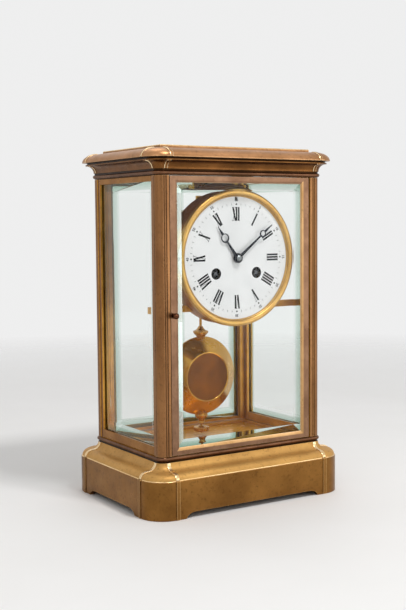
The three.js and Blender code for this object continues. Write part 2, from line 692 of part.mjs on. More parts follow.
function makeDoorGlass() {
  const glass = pane(
    SIGHT_LEFT - DOOR_GLASS_SEAT,
    SIGHT_RIGHT + DOOR_GLASS_SEAT,
    SIGHT_BOTTOM - DOOR_GLASS_SEAT,
    SIGHT_TOP + DOOR_GLASS_SEAT,
    DOOR_GLASS_THICK,
    DOOR_BEVEL,
    DOOR_BEVEL_DROP,
  );
  return moved(glass, 0, LIP_BACK + GAP, 0);
}

// A turned ball on a collar, with its shaft through the frame to the latch.
function makeKnob() {
  const collar = DOOR_FRONT - GAP;
  const ball = collar - 1.6 - KNOB_BALL;
  const end = DOOR_BACK + GAP + LATCH_THICK;
  return turned([
    ...arc(0, ball, KNOB_BALL, -Math.PI / 2, 1.05, 4),
    [1, collar - 1.2], [2, collar - 0.8], [2, collar], [KNOB_SHAFT, collar], [KNOB_SHAFT, end], [0, end],
  ], 8);
}

function makeLatch() {
  const front = DOOR_BACK + GAP;
  const tip = LATCH_LONG - LATCH_HALF;
  const outline = [
    ...arc(0, 0, LATCH_HALF, Math.PI, 2 * Math.PI, 3),
    ...arc(0, tip, LATCH_HALF, 0, Math.PI, 3),
  ];
  return flat(outline, front, front + LATCH_THICK, [hole(0, 0, KNOB_SHAFT + 0.1, 8)]);
}

function makeDoor(name) {
  const group = new THREE.Group();
  const knobPlace = [-DOOR_HALF + KNOB_IN, 0, KNOB_HEIGHT];
  group.add(mesh(`${name}_frame`, makeDoorFrame(), AGED_BRASS));
  group.add(mesh(`${name}_glass`, makeDoorGlass(), GLASS));
  group.add(mesh(`${name}_knob`, makeKnob(), GILT, knobPlace));
  group.add(mesh(`${name}_latch`, makeLatch(), AGED_BRASS, knobPlace));
  return group;
}

// Toothed wheels

const pitchRadius = ({ teeth, module }) => (teeth * module) / 2;
const tipRadius = (gear) => pitchRadius(gear) + ADDENDUM * gear.module;

// The place where two pitch distances meet, on the left or right side of the way from one centre
// to the other.
function meet([ax, az], reachA, [bx, bz], reachB, side) {
  const span = Math.hypot(bx - ax, bz - az);
  const along = (reachA ** 2 - reachB ** 2 + span ** 2) / (2 * span);
  const off = side * Math.sqrt(reachA ** 2 - along ** 2);
  const [ux, uz] = [(bx - ax) / span, (bz - az) / span];
  return [ax + along * ux - off * uz, az + along * uz + off * ux];
}

const reach = (a, b) => pitchRadius(a) + pitchRadius(b);
const angleFrom = ([ax, az], [bx, bz]) => Math.atan2(bz - az, bx - ax);

// A toothed disc with pointed teeth, one of them at the angle given.
function toothed(gear, phase, y0, y1, holes = []) {
  const tip = tipRadius(gear);
  const root = pitchRadius(gear) - DEDENDUM * gear.module;
  const step = Math.PI / gear.teeth;
  const outline = Array.from({ length: 2 * gear.teeth }, (_, i) => {
    const radius = i % 2 ? root : tip;
    return [radius * Math.cos(phase + i * step), radius * Math.sin(phase + i * step)];
  });
  return flat(outline, y0, y1, holes);
}

// The openings between the arms of a wheel.
function crossings(outer, inner, armHalf, arms, turn = 0) {
  return Array.from({ length: arms }, (_, i) => {
    const start = turn + (i * 2 * Math.PI) / arms;
    const end = turn + ((i + 1) * 2 * Math.PI) / arms;
    const edge = (radius) => Math.asin(armHalf / radius);
    const far = arc(0, 0, outer, start + edge(outer), end - edge(outer), 2);
    const near = arc(0, 0, inner, start + edge(inner), end - edge(inner), 1);
    return [...far, ...near.reverse()];
  });
}

// A wheel with arms, its front face at y.
function wheel(gear, phase, y, arms = 4) {
  const rim = pitchRadius(gear) - DEDENDUM * gear.module - 1.1;
  return toothed(gear, phase, y, y + WHEEL_THICK, crossings(rim, 2.6, 0.7, arms, phase));
}

const pinion = (gear, phase, middle) => (
  toothed(gear, phase, middle - PINION_THICK / 2, middle + PINION_THICK / 2)
);

// A steel arbor between the plates, with its two pivots.
function arbor(radius = ARBOR) {
  const [y0, y1] = [FRONT_PLATE_BACK + END_SHAKE, BACK_PLATE_FRONT - END_SHAKE];
  const pivot = Math.min(PIVOT, radius - 0.1);
  return turned([
    [0, y0 - PIVOT_LONG], [pivot, y0 - PIVOT_LONG], [pivot, y0], [radius, y0], [radius, y1], [pivot, y1],
    [pivot, y1 + PIVOT_LONG], [0, y1 + PIVOT_LONG],
  ], 6);
}

// The thickest arbor that the teeth of the wheel which drives this pinion clear.
const slender = (leaves) => Math.min(ARBOR, pitchRadius(leaves) - ADDENDUM * leaves.module - 0.1);

const middleOf = (layer) => layer + WHEEL_THICK / 2;

// Places of the arbors, from the sizes of the wheels
const CENTRE_AT = [0, 0];
const ESCAPE_PLACE = [0, ESCAPE_AT];
const GOING_AT = BARREL_AT;
const STRIKE_AT = [-BARREL_AT[0], BARREL_AT[1]];
const SECOND_AT = meet(CENTRE_AT, reach(SECOND, CENTRE_PINION), GOING_AT, reach(GREAT, SECOND_PINION), 1);
const THIRD_AT = meet(CENTRE_AT, reach(CENTRE, THIRD_PINION), ESCAPE_PLACE, reach(THIRD, ESCAPE_PINION), 1);
const STRIKE_SECOND_AT = meet(
  STRIKE_AT, reach(GREAT, SECOND_PINION), CENTRE_AT, reach(SECOND, CENTRE_PINION), -1,
);
const PIN_TURN = -70 * (Math.PI / 180); // which way the pin wheel lies from the strike's second wheel
const FLY_TURN = 200 * (Math.PI / 180);
const outFrom = ([x, z], distance, angle) => [x + distance * Math.cos(angle), z + distance * Math.sin(angle)];
const PIN_AT = outFrom(STRIKE_SECOND_AT, reach(SECOND, PIN_PINION), PIN_TURN);
const FLY_AT = outFrom(PIN_AT, reach(PIN, FLY_PINION), FLY_TURN);
const MINUTE_TURN = 135 * (Math.PI / 180);
const MINUTE_AT = outFrom(CENTRE_AT, reach(CANNON, MINUTE), MINUTE_TURN);

// Turns a wheel so that a tooth meets the other's gap.
const toothTo = (from, to) => angleFrom(from, to);
const gapTo = (gear, from, to) => angleFrom(from, to) + Math.PI / gear.teeth;

function makeBarrel(at, partner, layer) {
  const drum = turned([
    [WINDING_ARBOR + RUN, BARREL_FRONT], [BARREL_RADIUS - 0.6, BARREL_FRONT],
    [BARREL_RADIUS, BARREL_FRONT + 0.6],
    [BARREL_RADIUS, BARREL_BACK], [WINDING_ARBOR + RUN, BARREL_BACK],
    [WINDING_ARBOR + RUN, BARREL_FRONT],
  ], 16);
  const opening = circle(0, 0, WINDING_ARBOR + RUN, 16);
  const teeth = toothed(GREAT, toothTo(at, partner), layer, layer + GREAT_THICK, [opening]);
  return drum.add(teeth);
}

const RATCHET_TEETH = 12;
const RATCHET_RADIUS = 8;
const RATCHET_ROOT = 6.7;
const CLICK_AT = [9.6, 8.4]; // of the going side's click, from its ratchet
const CLICK_HUB = 2.2;

// A ratchet's saw teeth: each rises slowly and drops at once.
function ratchetOutline(hand, phase) {
  return Array.from({ length: RATCHET_TEETH }, (_, i) => {
    const angle = phase + (i * 2 * Math.PI) / RATCHET_TEETH;
    const drop = hand * 0.02;
    return [
      [RATCHET_RADIUS * Math.cos(angle), RATCHET_RADIUS * Math.sin(angle)],
      [RATCHET_ROOT * Math.cos(angle + drop), RATCHET_ROOT * Math.sin(angle + drop)],
    ];
  }).flat();
}

// The winding arbor: its square in the dial's hole, its ratchet in front of the plate, and its pivot behind.
function makeWindingArbor() {
  const ratchetBack = RATCHET_LAYER + 1.4;
  const shaft = turned([
    [0, RATCHET_LAYER], [WINDING_ARBOR, RATCHET_LAYER], [WINDING_ARBOR, BACK_PLATE_FRONT - END_SHAKE],
    [1.2, BACK_PLATE_FRONT - END_SHAKE], [1.2, BACK_PLATE_BACK], [0, BACK_PLATE_BACK],
  ], 8);
  const square = box(
    -WINDING_SQUARE,
    WINDING_SQUARE,
    WINDING_END,
    RATCHET_LAYER + 0.5,
    -WINDING_SQUARE,
    WINDING_SQUARE,
  );
  return union(shaft, square, flat(ratchetOutline(1, 0), RATCHET_LAYER, ratchetBack));
}

// The click: an arm from its screw to a beak in the ratchet's teeth, made for the going side.
function makeClick() {
  const [x, z] = CLICK_AT;
  const polar = (radius, degrees) => {
    const angle = (degrees * Math.PI) / 180;
    return [radius * Math.cos(angle) - x, radius * Math.sin(angle) - z];
  };
  const beak = [polar(RATCHET_ROOT + 0.6, 3.6), polar(RATCHET_RADIUS + 1.3, 3)];
  const hub = arc(0, 0, CLICK_HUB, -0.35, Math.PI + 0.35, 6);
  const belly = polar(RATCHET_RADIUS + 0.35, 10);
  const arm = flat([...beak, ...hub, belly], RATCHET_LAYER, RATCHET_LAYER + 1.4);
  const screw = rod(1, RATCHET_LAYER - 0.6, FRONT_PLATE_BACK - 0.6);
  return arm.add(screw);
}

function makeSecondWheel(at, barrelAt, nextAt, greatLayer, layer, back) {
  const turning = union(
    arbor(),
    pinion(SECOND_PINION, gapTo(SECOND_PINION, at, barrelAt), greatLayer + GREAT_THICK / 2),
    wheel(SECOND, toothTo(at, nextAt), layer),
  );
  return back ? turning.add(rod(PIVOT, 0, back)) : turning;
}

// The centre wheel, whose arbor goes on through the dial and carries the hands.
function makeCentreWheel() {
  const front = MINUTE_HAND.front - 1.6;
  return union(
    arbor(1.1),
    rod(0.7, front, -25),
    pinion(CENTRE_PINION, gapTo(CENTRE_PINION, CENTRE_AT, SECOND_AT), middleOf(SECOND_LAYER)),
    wheel(CENTRE, toothTo(CENTRE_AT, THIRD_AT), CENTRE_LAYER),
  );
}

function makeThirdWheel() {
  return union(
    arbor(slender(THIRD_PINION)),
    pinion(THIRD_PINION, gapTo(THIRD_PINION, THIRD_AT, CENTRE_AT), middleOf(CENTRE_LAYER)),
    wheel(THIRD, toothTo(THIRD_AT, ESCAPE_PLACE), THIRD_LAYER),
  );
}

// The escape wheel: slender teeth that lean forwards.
function makeEscapeWheel() {
  const step = (2 * Math.PI) / ESCAPE_TEETH;
  const outline = Array.from({ length: ESCAPE_TEETH }, (_, i) => [
    [ESCAPE_RADIUS, i * step],
    [ESCAPE_RADIUS - 1.7, (i + 0.75) * step],
  ]).flat().map(([radius, angle]) => [radius * Math.cos(angle), radius * Math.sin(angle)]);
  const holes = crossings(ESCAPE_RADIUS - 2.6, 2, 0.5, 4, 0.3);
  return union(
    arbor(slender(ESCAPE_PINION)),
    pinion(ESCAPE_PINION, gapTo(ESCAPE_PINION, ESCAPE_PLACE, THIRD_AT), middleOf(THIRD_LAYER)),
    flat(outline, ESCAPE_LAYER, ESCAPE_LAYER + WHEEL_THICK, holes),
  );
}

// The anchor: two nibs that point at the wheel's axis, 45 degrees to each side of it.
function makePallets() {
  const nib = ESCAPE_RADIUS + PALLETS_CLEAR;
  const axis = ESCAPE_AT - PALLETS_AT;
  const at = (distance, degrees) => {
    const angle = (degrees * Math.PI) / 180;
    return [distance * Math.sin(angle), axis + distance * Math.cos(angle)];
  };
  const right = [
    at(nib, 41), at(nib + 0.6, 49), at(nib + 3.2, 47), [5.2, -0.6], [2.4, 2.2],
  ];
  const left = right.map(([x, z]) => [-x, z]).reverse();
  const outline = [at(nib + 1.6, 36), ...right, ...left, at(nib + 1.6, -36), [0, -2.4]];
  const body = flat(outline, ESCAPE_LAYER, ESCAPE_LAYER + 1.4);
  return body.add(arbor(ARBOR)).add(rod(PIVOT, 0, CRUTCH_FRONT + 1));
}

const CRUTCH_FRONT = 5.4;
const FORK_DROP = 16.5; // from the pallets' axis to the middle of the fork

// The crutch: a long arm behind the plate, with a fork round the pendulum's rod.
function makeCrutch() {
  const arm = box(-0.8, 0.8, CRUTCH_FRONT, CRUTCH_FRONT + 1.2, -FORK_DROP - 0.8, 0);
  const hub = rod(1.8, CRUTCH_FRONT, CRUTCH_FRONT + 1.2, 12);
  const fork = box(-2.6, 2.6, CRUTCH_FRONT, PENDULUM_Y + 2.4, -FORK_DROP - 0.8, -FORK_DROP + 0.8);
  const slot = ROD_RADIUS + GAP;
  const forkFront = PENDULUM_Y - ROD_RADIUS - 0.6;
  const room = box(-slot, slot, forkFront, PENDULUM_Y + 3, -FORK_DROP - 2, -FORK_DROP + 2);
  return union(arm, hub, fork).subtract(room).subtract(bore(PIVOT + 0.1, CRUTCH_FRONT - 1, CRUTCH_FRONT + 2));
}

// Strike

const PIN_CIRCLE = 5.8;
const PINS = 8;

function makePinWheel() {
  const body = union(
    arbor(),
    pinion(PIN_PINION, gapTo(PIN_PINION, PIN_AT, STRIKE_SECOND_AT), middleOf(STRIKE_SECOND_LAYER)),
    toothed(PIN, toothTo(PIN_AT, FLY_AT), PIN_LAYER, PIN_LAYER + WHEEL_THICK),
  );
  const pin = rod(0.4, PIN_LAYER - 1.6, PIN_LAYER + 0.4, 6);
  return Array.from({ length: PINS }, (_, i) => {
    const angle = ((i + 0.5) * 2 * Math.PI) / PINS;
    return moved(pin, PIN_CIRCLE * Math.cos(angle), 0, PIN_CIRCLE * Math.sin(angle));
  }).reduce((whole, part) => whole.add(part), body);
}

function makeFly() {
  const blade = box(-FLY_RADIUS, FLY_RADIUS, -24, -12, -0.35, 0.35);
  const leaves = pinion(FLY_PINION, gapTo(FLY_PINION, FLY_AT, PIN_AT), middleOf(PIN_LAYER));
  return union(arbor(), blade, rod(1.5, -24.5, -11.5), leaves);
}

const HAMMER_HEAD = { x: 14.4, z: -21.6, radius: 2.6, half: 4, y: 23 };

// The hammer: its arbor, the arm behind the plate, the stem back into the bell and the head.
function makeHammer() {
  const armFront = 6.2;
  const armBack = 7.8;
  const dx = HAMMER_HEAD.x - HAMMER_AT[0];
  const dz = HAMMER_HEAD.z - HAMMER_AT[1];
  const lean = Math.atan2(dx, dz);
  const side = 1.1; // half width of the arm
  const across = [side * Math.cos(lean), -side * Math.sin(lean)];
  const arm = flat([
    [-across[0], -across[1]], across, [dx + across[0], dz + across[1]], [dx - across[0], dz - across[1]],
  ], armFront, armBack);
  const stem = moved(rod(1, armFront + 0.2, HAMMER_HEAD.y), dx, 0, dz);
  const outward = Math.atan2(HAMMER_HEAD.z - BELL_CENTRE, HAMMER_HEAD.x);
  const head = uprightRod(HAMMER_HEAD.radius, -HAMMER_HEAD.half, HAMMER_HEAD.half, 12)
    .rotate([0, 90 - (outward * 180) / Math.PI, 0]);
  const tailOutline = [[1.2, -1], [1.2, 1], [-1.2, 1], [-4.6, 0.8], [-4.6, -0.2], [-1.2, -1]];
  const tail = flat(tailOutline, PIN_LAYER - 1.4, PIN_LAYER - 0.4);
  const boss = rod(1.8, armFront, armBack, 12);
  return union(
    arbor(),
    rod(PIVOT, 0, armBack),
    boss,
    tail,
    arm,
    stem,
    moved(head, dx, HAMMER_HEAD.y, dz),
  );
}

// The count wheel: a notch after each hour's blows and the single blow of its half hour.
function makeCountWheel() {
  const blows = 90;
  const notch = 0.55; // half width, in blows
  const outline = [];
  let counted = 0;
  const angleOf = (count) => (count / blows) * 2 * Math.PI;
  for (let hour = 1; hour <= 12; hour += 1) {
    const from = counted + notch;
    counted += hour + 1;
    const to = counted - notch;
    const steps = Math.max(1, Math.round((to - from) / 4));
    outline.push(...arc(0, 0, COUNT_RADIUS, angleOf(from), angleOf(to), steps));
    outline.push(...arc(0, 0, COUNT_RADIUS - 2, angleOf(to), angleOf(to + 2 * notch), 1));
  }
  const openings = [hole(0, 0, PIVOT + 0.1), ...crossings(10.4, 3, 0.8, 4)];
  return flat(outline, COUNT_LAYER, COUNT_LAYER + 1, openings);
}

// Plates and what they carry

function makeFrontPlate() {
  const holes = [
    [CENTRE_AT, 1], [SECOND_AT, PIVOT + RUN], [THIRD_AT, PIVOT + RUN], [ESCAPE_PLACE, PIVOT + RUN],
    [[0, PALLETS_AT], PIVOT + RUN], [STRIKE_SECOND_AT, PIVOT + RUN], [PIN_AT, PIVOT + RUN],
    [FLY_AT, PIVOT + RUN], [HAMMER_AT, PIVOT + RUN], [MINUTE_AT, 1.1], [GOING_AT, WINDING_ARBOR + RUN],
    [STRIKE_AT, WINDING_ARBOR + RUN], [clickPlace(1), 1.3], [clickPlace(-1), 1.3],
  ].map(([[x, z], radius]) => hole(x, z, radius));
  const plate = flat(circle(0, 0, PLATE_RADIUS, 28), FRONT_PLATE_FRONT, FRONT_PLATE_BACK, holes);
  const pillar = rod(PLATE_PILLAR, FRONT_PLATE_BACK - 0.5, BACK_PLATE_FRONT - GAP, 6);
  return PLATE_PILLARS.reduce((whole, [x, z]) => whole.add(moved(pillar, x, 0, z)), plate);
}

const clickPlace = (side) => [side * (BARREL_AT[0] + CLICK_AT[0]), BARREL_AT[1] + CLICK_AT[1]];

function makeBackPlate() {
  const holes = [
    [CENTRE_AT, PIVOT + RUN], [SECOND_AT, PIVOT + RUN], [THIRD_AT, PIVOT + RUN], [ESCAPE_PLACE, PIVOT + RUN],
    [[0, PALLETS_AT], PIVOT + RUN], [STRIKE_SECOND_AT, PIVOT + RUN], [PIN_AT, PIVOT + RUN],
    [FLY_AT, PIVOT + RUN], [HAMMER_AT, PIVOT + RUN], [GOING_AT, 1.5], [STRIKE_AT, 1.5],
  ].map(([[x, z], radius]) => hole(x, z, radius));
  return flat(circle(0, 0, PLATE_RADIUS, 28), BACK_PLATE_FRONT, BACK_PLATE_BACK, holes);
}

const CHOPS_BOTTOM = 27.8;

// The suspension cock: a bracket over the back plate, with two chops that grip the spring's top.
function makeCock() {
  const front = BACK_PLATE_BACK + GAP;
  const back = PENDULUM_Y + 3;
  const plate = box(-8, 8, front, front + 2.6, 30, REGULATOR_AT + 3.2);
  const shelf = box(-6, 6, front, back, 40, 43.5);
  const chops = box(-3, 3, PENDULUM_Y - 3, back, CHOPS_BOTTOM, 41);
  const slit = box(-0.55, 0.55, PENDULUM_Y - 4, back + 1, CHOPS_BOTTOM - 1, CHOPS_BOTTOM + 6);
  const regulator = moved(bore(REGULATOR_RADIUS + RUN, front - 1, front + 4), 0, 0, REGULATOR_AT);
  return union(plate, shelf, chops).subtract(slit).subtract(regulator);
}

const STAND_ARM = 30;

// The bell's stand: a foot on the back plate, a post back inside the bell and an arm to the bell's middle.
function makeBellStand() {
  const [x, z] = STAND_AT;
  const front = BACK_PLATE_BACK + GAP;
  const dz = BELL_CENTRE - z;
  const foot = rod(3.4, 0, 1.6, 12);
  const post = rod(1.8, 0, STAND_ARM - front);
  const length = Math.hypot(x, dz);
  const turn = (-Math.atan2(dz, -x) * 180) / Math.PI;
  const arm = box(0, length, STAND_ARM - front - 2.4, STAND_ARM - front, -1.8, 1.8).rotate([0, turn, 0]);
  const crown = BELL_MOUTH + BELL_DEEP - BELL_THICK - front;
  const stud = moved(union(
    rod(3, STAND_ARM - front - 2.4, crown - GAP, 8),
    rod(1.6, STAND_ARM - front - 2.4, crown + BELL_THICK + 1.5, 8),
  ), -x, 0, dz);
  return union(foot, post, arm, stud);
}

// The bell: a shallow cup with its mouth to the front.
function makeBell() {
  const inner = BELL_RADIUS - BELL_THICK;
  const back = BELL_MOUTH + BELL_DEEP;
  const bend = 9;
  const outside = [
    [BELL_RADIUS, BELL_MOUTH],
    ...arc(BELL_RADIUS - bend, back - bend, bend, 0, Math.PI / 2, 2),
  ];
  const inside = [
    ...arc(inner - bend + 1, back - BELL_THICK - bend + 1, bend - 1, Math.PI / 2, 0, 2),
    [inner, BELL_MOUTH],
  ];
  return turned([[1.9, back], [1.9, back - BELL_THICK], ...inside, ...outside, [1.9, back]], 20);
}

// Dial side

function makeRing() {
  const inner = RING_OUTER - RING_WALL;
  const flangeBack = FRONT_PLATE_FRONT - GAP;
  const flangeFront = flangeBack - FLANGE_THICK;
  const lip = DIAL_SIGHT + 0.4;
  const band = turned([
    [lip, RING_FRONT], [RING_OUTER, RING_FRONT], [RING_OUTER, RING_BACK], [inner, RING_BACK],
    [inner, flangeBack],
    [FLANGE_INNER, flangeBack], [FLANGE_INNER, flangeFront], [inner, flangeFront], [inner, RING_FRONT + 1],
    [lip, RING_FRONT + 1], [lip, RING_FRONT],
  ], ROUND);
  const opening = moved(bore(REGULATOR_RADIUS + 0.6, flangeFront - 1, flangeBack + 1), 0, 0, REGULATOR_AT);
  return band.subtract(opening);
}

function makeBezel() {
  const outer = DIAL_SIGHT + BEZEL_WIDE;
  const front = DIAL_FRONT - BEZEL_PROUD;
  const seat = DIAL_FRONT - GAP;
  return turned([
    [DIAL_SIGHT, seat], [DIAL_SIGHT + 3, front], [outer - 0.8, front + 0.2], [outer, front + 1.2],
    [outer, RING_FRONT - GAP], [DIAL_RADIUS + GAP, RING_FRONT - GAP],
    [DIAL_RADIUS + GAP, seat], [DIAL_SIGHT, seat],
  ], ROUND);
}

function makeDial() {
  const holes = [
    hole(0, 0, HOUR_PIPE + RUN, 12),
    hole(...GOING_AT, WINDING_HOLE, 12),
    hole(...STRIKE_AT, WINDING_HOLE, 12),
    hole(0, REGULATOR_AT, 1.4, 8),
  ];
  return flat(circle(0, 0, DIAL_RADIUS, ROUND), DIAL_FRONT, DIAL_BACK, holes);
}

const CANNON_TUBE = 1.7;
const HOUR_PIPE = 2.8;
const HOUR_PIPE_BORE = 2.1;

function makeCannon() {
  const front = MINUTE_HAND.front - 0.4;
  const tube = ringBand(1, CANNON_TUBE, front, -33, 8);
  const phase = toothTo(CENTRE_AT, MINUTE_AT);
  const leaves = toothed(CANNON, phase, MINUTE_LAYER - 0.3, -33, [circle(0, 0, 1, 8)]);
  return tube.add(leaves);
}

function makeMinuteWheel() {
  const wheelBody = toothed(MINUTE, gapTo(MINUTE, MINUTE_AT, CENTRE_AT), MINUTE_LAYER, MINUTE_LAYER + 1);
  const leaves = toothed(MINUTE_PINION, toothTo(MINUTE_AT, CENTRE_AT), HOUR_LAYER - 0.6, MINUTE_LAYER + 0.2);
  return union(wheelBody, leaves, rod(0.8, MINUTE_LAYER, FRONT_PLATE_BACK - 0.6));
}

function makeHourWheel() {
  const opening = circle(0, 0, HOUR_PIPE_BORE, 12);
  const teeth = toothed(HOUR, gapTo(HOUR, CENTRE_AT, MINUTE_AT), HOUR_LAYER, HOUR_LAYER + 1, [opening]);
  return teeth.add(ringBand(HOUR_PIPE_BORE, HOUR_PIPE, HOUR_HAND.front - 0.2, HOUR_LAYER + 0.5));
}

// A moon hand: a hub, a tapering bar, a ring with its hole set outwards, and a long point.
function makeHand({ length, moon, ring, front }, seat) {
  const back = front + HAND_THICK;
  const bar = (z0, half0, z1, half1) => (
    flat([[-half0, z0], [half0, z0], [half1, z1], [-half1, z1]], front, back)
  );
  const neck = moon - ring + 0.4;
  const tip = bar(moon + ring - 0.4, 0.75, length, 0.12);
  const disc = flat(circle(0, moon, ring, 12), front, back);
  const hub = flat(circle(0, 0, HAND_HUB, 12), front, back);
  const opening = flat(circle(0, moon + 0.35, ring - 0.95, 12), front - 1, back + 1);
  const body = union(hub, bar(0, 1, neck, 0.6), disc, tip);
  return body.subtract(opening).subtract(bore(seat, front - 1, back + 1, 12));
}

function makeHandNut() {
  const back = MINUTE_HAND.front - 0.5;
  return turned([
    [0.8, back], [2.2, back], [2.4, back - 0.4], [1.6, back - 1.1], [0.8, back - 1.1], [0.8, back],
  ], 10);
}

// Pendulum, placed from the middle of its suspension spring

const PIVOT_DROP = BOB_DROP + PALLETS_AT; // from the pivot down to the bob's centre
const SPRING_HALF_WIDE = 1.8;

function makeSpring() {
  const strip = box(-0.15, 0.15, -SPRING_HALF_WIDE, SPRING_HALF_WIDE, -7, 3.8);
  const clasp = box(-1.6, 1.6, -2.2, 2.2, -8.6, -6);
  return strip.add(clasp);
}

const ROD_TOP = -8.9;

function makeRod() {
  return uprightRod(ROD_RADIUS, RATING_NUT.bottom - 1.4 - PIVOT_DROP, ROD_TOP);
}

const bored = (body) => body.subtract(uprightBore(ROD_RADIUS + GAP, -80, 80));

function makeBob() {
  const body = turned([
    [0, -BOB_HALF_THICK], [BOB_FLAT, -BOB_HALF_THICK], [BOB_RADIUS, -BOB_RIM], [BOB_RADIUS, BOB_RIM],
    [BOB_FLAT, BOB_HALF_THICK], [0, BOB_HALF_THICK],
  ], ROUND);
  return bored(body);
}

// A turned ferrule whose open end is cut to sit over the bob's cones.
function ferrule(profile) {
  const slope = (BOB_HALF_THICK - BOB_RIM) / (BOB_RADIUS - BOB_FLAT);
  const grown = BOB_RADIUS + (BOB_RIM + GAP * Math.hypot(1, slope)) / slope;
  const seat = turned([
    [0, -slope * grown], [grown, 0], [0, slope * grown],
  ], ROUND);
  return bored(turnedUpright(profile, 12)).subtract(seat);
}

function makeTopFerrule() {
  const { radius, bottom, top } = TOP_FERRULE;
  return ferrule([
    [0, bottom], [2.2, bottom], [3.2, bottom + 3.2], [radius - 0.6, top - 6.2], [radius, top - 5.2],
    [radius, top - 4], [radius - 2.4, top - 3.2], [2.6, top - 1], [1.9, top], [0, top],
  ]);
}

function makeLowerFerrule() {
  const { radius, bottom, top } = LOWER_FERRULE;
  return ferrule([
    [0, bottom], [3, bottom], [3.2, bottom + 1.2], [2.4, bottom + 3],
    [radius - 0.6, top - 5.4], [radius, top - 4.4],
    [radius - 0.3, top - 3.2], [3, top - 1], [2.4, top], [0, top],
  ]);
}

function makeRatingNut() {
  const { radius, bottom, top } = RATING_NUT;
  return bored(turnedUpright([
    [0, bottom], [radius - 1.4, bottom], [radius, bottom + 0.8], [radius, top - 1.6],
    [radius - 1.2, top - 0.9],
    [2.6, top - 0.4], [2.4, top], [0, top],
  ], 12));
}

// Movement

const at = ([x, z]) => [x, 0, z];

function makeMovement() {
  const group = new THREE.Group();
  const add = (...args) => group.add(mesh(...args));
  const degrees = Math.PI / 180;
  add('movement_ring', makeRing(), DEEP_BRASS);
  add('bezel', makeBezel(), GILT);
  add('dial', makeDial(), ENAMEL);
  add('front_plate', makeFrontPlate(), WHEEL_BRASS);
  add('back_plate', makeBackPlate(), WHEEL_BRASS);
  add('suspension_cock', makeCock(), WHEEL_BRASS);
  add('bell_stand', makeBellStand(), STEEL, [STAND_AT[0], BACK_PLATE_BACK + GAP, STAND_AT[1]]);
  add('bell', makeBell(), BELL_METAL, [0, 0, BELL_CENTRE]);
  add('regulating_arbor', rod(REGULATOR_RADIUS, DIAL_BACK + 1, PENDULUM_Y - 2), STEEL, [0, 0, REGULATOR_AT]);
  const minuteHand = makeHand(MINUTE_HAND, CANNON_TUBE + 0.1);
  add('minute_hand', minuteHand, BLUED_STEEL, [0, 0, 0], MINUTE_ANGLE * degrees);
  add('hour_hand', makeHand(HOUR_HAND, HOUR_PIPE + 0.1), BLUED_STEEL, [0, 0, 0], HOUR_ANGLE * degrees);
  add('hand_nut', makeHandNut(), BLUED_STEEL);
  add('cannon_pinion', makeCannon(), STEEL);
  add('hour_wheel', makeHourWheel(), WHEEL_BRASS);
  add('minute_wheel', makeMinuteWheel(), WHEEL_BRASS, at(MINUTE_AT));
  add('going_barrel', makeBarrel(GOING_AT, SECOND_AT, GREAT_LAYER), WHEEL_BRASS, at(GOING_AT));
  add('going_arbor', makeWindingArbor(), STEEL, at(GOING_AT));
  add('going_click', makeClick(), STEEL, at(clickPlace(1)));
  const second = makeSecondWheel(SECOND_AT, GOING_AT, CENTRE_AT, GREAT_LAYER, SECOND_LAYER, 0);
  add('second_wheel', second, WHEEL_BRASS, at(SECOND_AT));
  add('centre_wheel', makeCentreWheel(), WHEEL_BRASS);
  add('third_wheel', makeThirdWheel(), WHEEL_BRASS, at(THIRD_AT));
  add('escape_wheel', makeEscapeWheel(), WHEEL_BRASS, at(ESCAPE_PLACE));
  add('pallets', makePallets(), STEEL, [0, 0, PALLETS_AT]);
  add('crutch', makeCrutch(), STEEL, [0, 0, PALLETS_AT]);
  const strikeBarrel = makeBarrel(STRIKE_AT, STRIKE_SECOND_AT, STRIKE_GREAT_LAYER);
  add('strike_barrel', strikeBarrel, WHEEL_BRASS, at(STRIKE_AT));
  add('strike_arbor', makeWindingArbor().mirror([1, 0, 0]), STEEL, at(STRIKE_AT));
  add('strike_click', makeClick().mirror([1, 0, 0]), STEEL, at(clickPlace(-1)));
  const strikeSecond = makeSecondWheel(
    STRIKE_SECOND_AT,
    STRIKE_AT,
    PIN_AT,
    STRIKE_GREAT_LAYER,
    STRIKE_SECOND_LAYER,
    COUNT_LAYER + 1.4,
  );
  add('strike_second_wheel', strikeSecond, WHEEL_BRASS, at(STRIKE_SECOND_AT));
  add('count_wheel', makeCountWheel(), WHEEL_BRASS, at(STRIKE_SECOND_AT));
  add('pin_wheel', makePinWheel(), WHEEL_BRASS, at(PIN_AT));
  add('fly', makeFly(), WHEEL_BRASS, at(FLY_AT));
  add('hammer', makeHammer(), STEEL, at(HAMMER_AT));
  group.position.z = DIAL_HEIGHT;
  return group;
}

function makePendulum() {
  const group = new THREE.Group();
  const bobPlace = [0, 0, -PIVOT_DROP];
  group.add(mesh('suspension_spring', makeSpring(), BLUED_STEEL));
  group.add(mesh('pendulum_rod', makeRod(), DEEP_BRASS));
  group.add(mesh('top_ferrule', makeTopFerrule(), GILT, bobPlace));
  group.add(mesh('bob', makeBob(), GILT, bobPlace));
  group.add(mesh('lower_ferrule', makeLowerFerrule(), GILT, bobPlace));
  group.add(mesh('rating_nut', makeRatingNut(), GILT, bobPlace));
  group.position.set(0, PENDULUM_Y, DIAL_HEIGHT + PALLETS_AT);
  return group;
}

const group = new THREE.Group();
const backDoor = makeDoor('back_door');
backDoor.rotation.z = Math.PI;
group.add(makeCase(), makeDoor('front_door'), backDoor, makeMovement(), makePendulum());

export default group;
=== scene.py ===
# %% [markdown]
# # A four-glass clock
# The clock is a cast brass case with four bevelled glasses, a round striking movement behind a white
# enamel dial, and a pendulum whose bob is two flat cones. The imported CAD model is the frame: it says
# where every piece is and which pieces move together. Each cell below makes one piece or one finish round
# that frame.

# %% The frame and its box
import json
import math

import bmesh
import bpy
from mathutils import Matrix, Vector

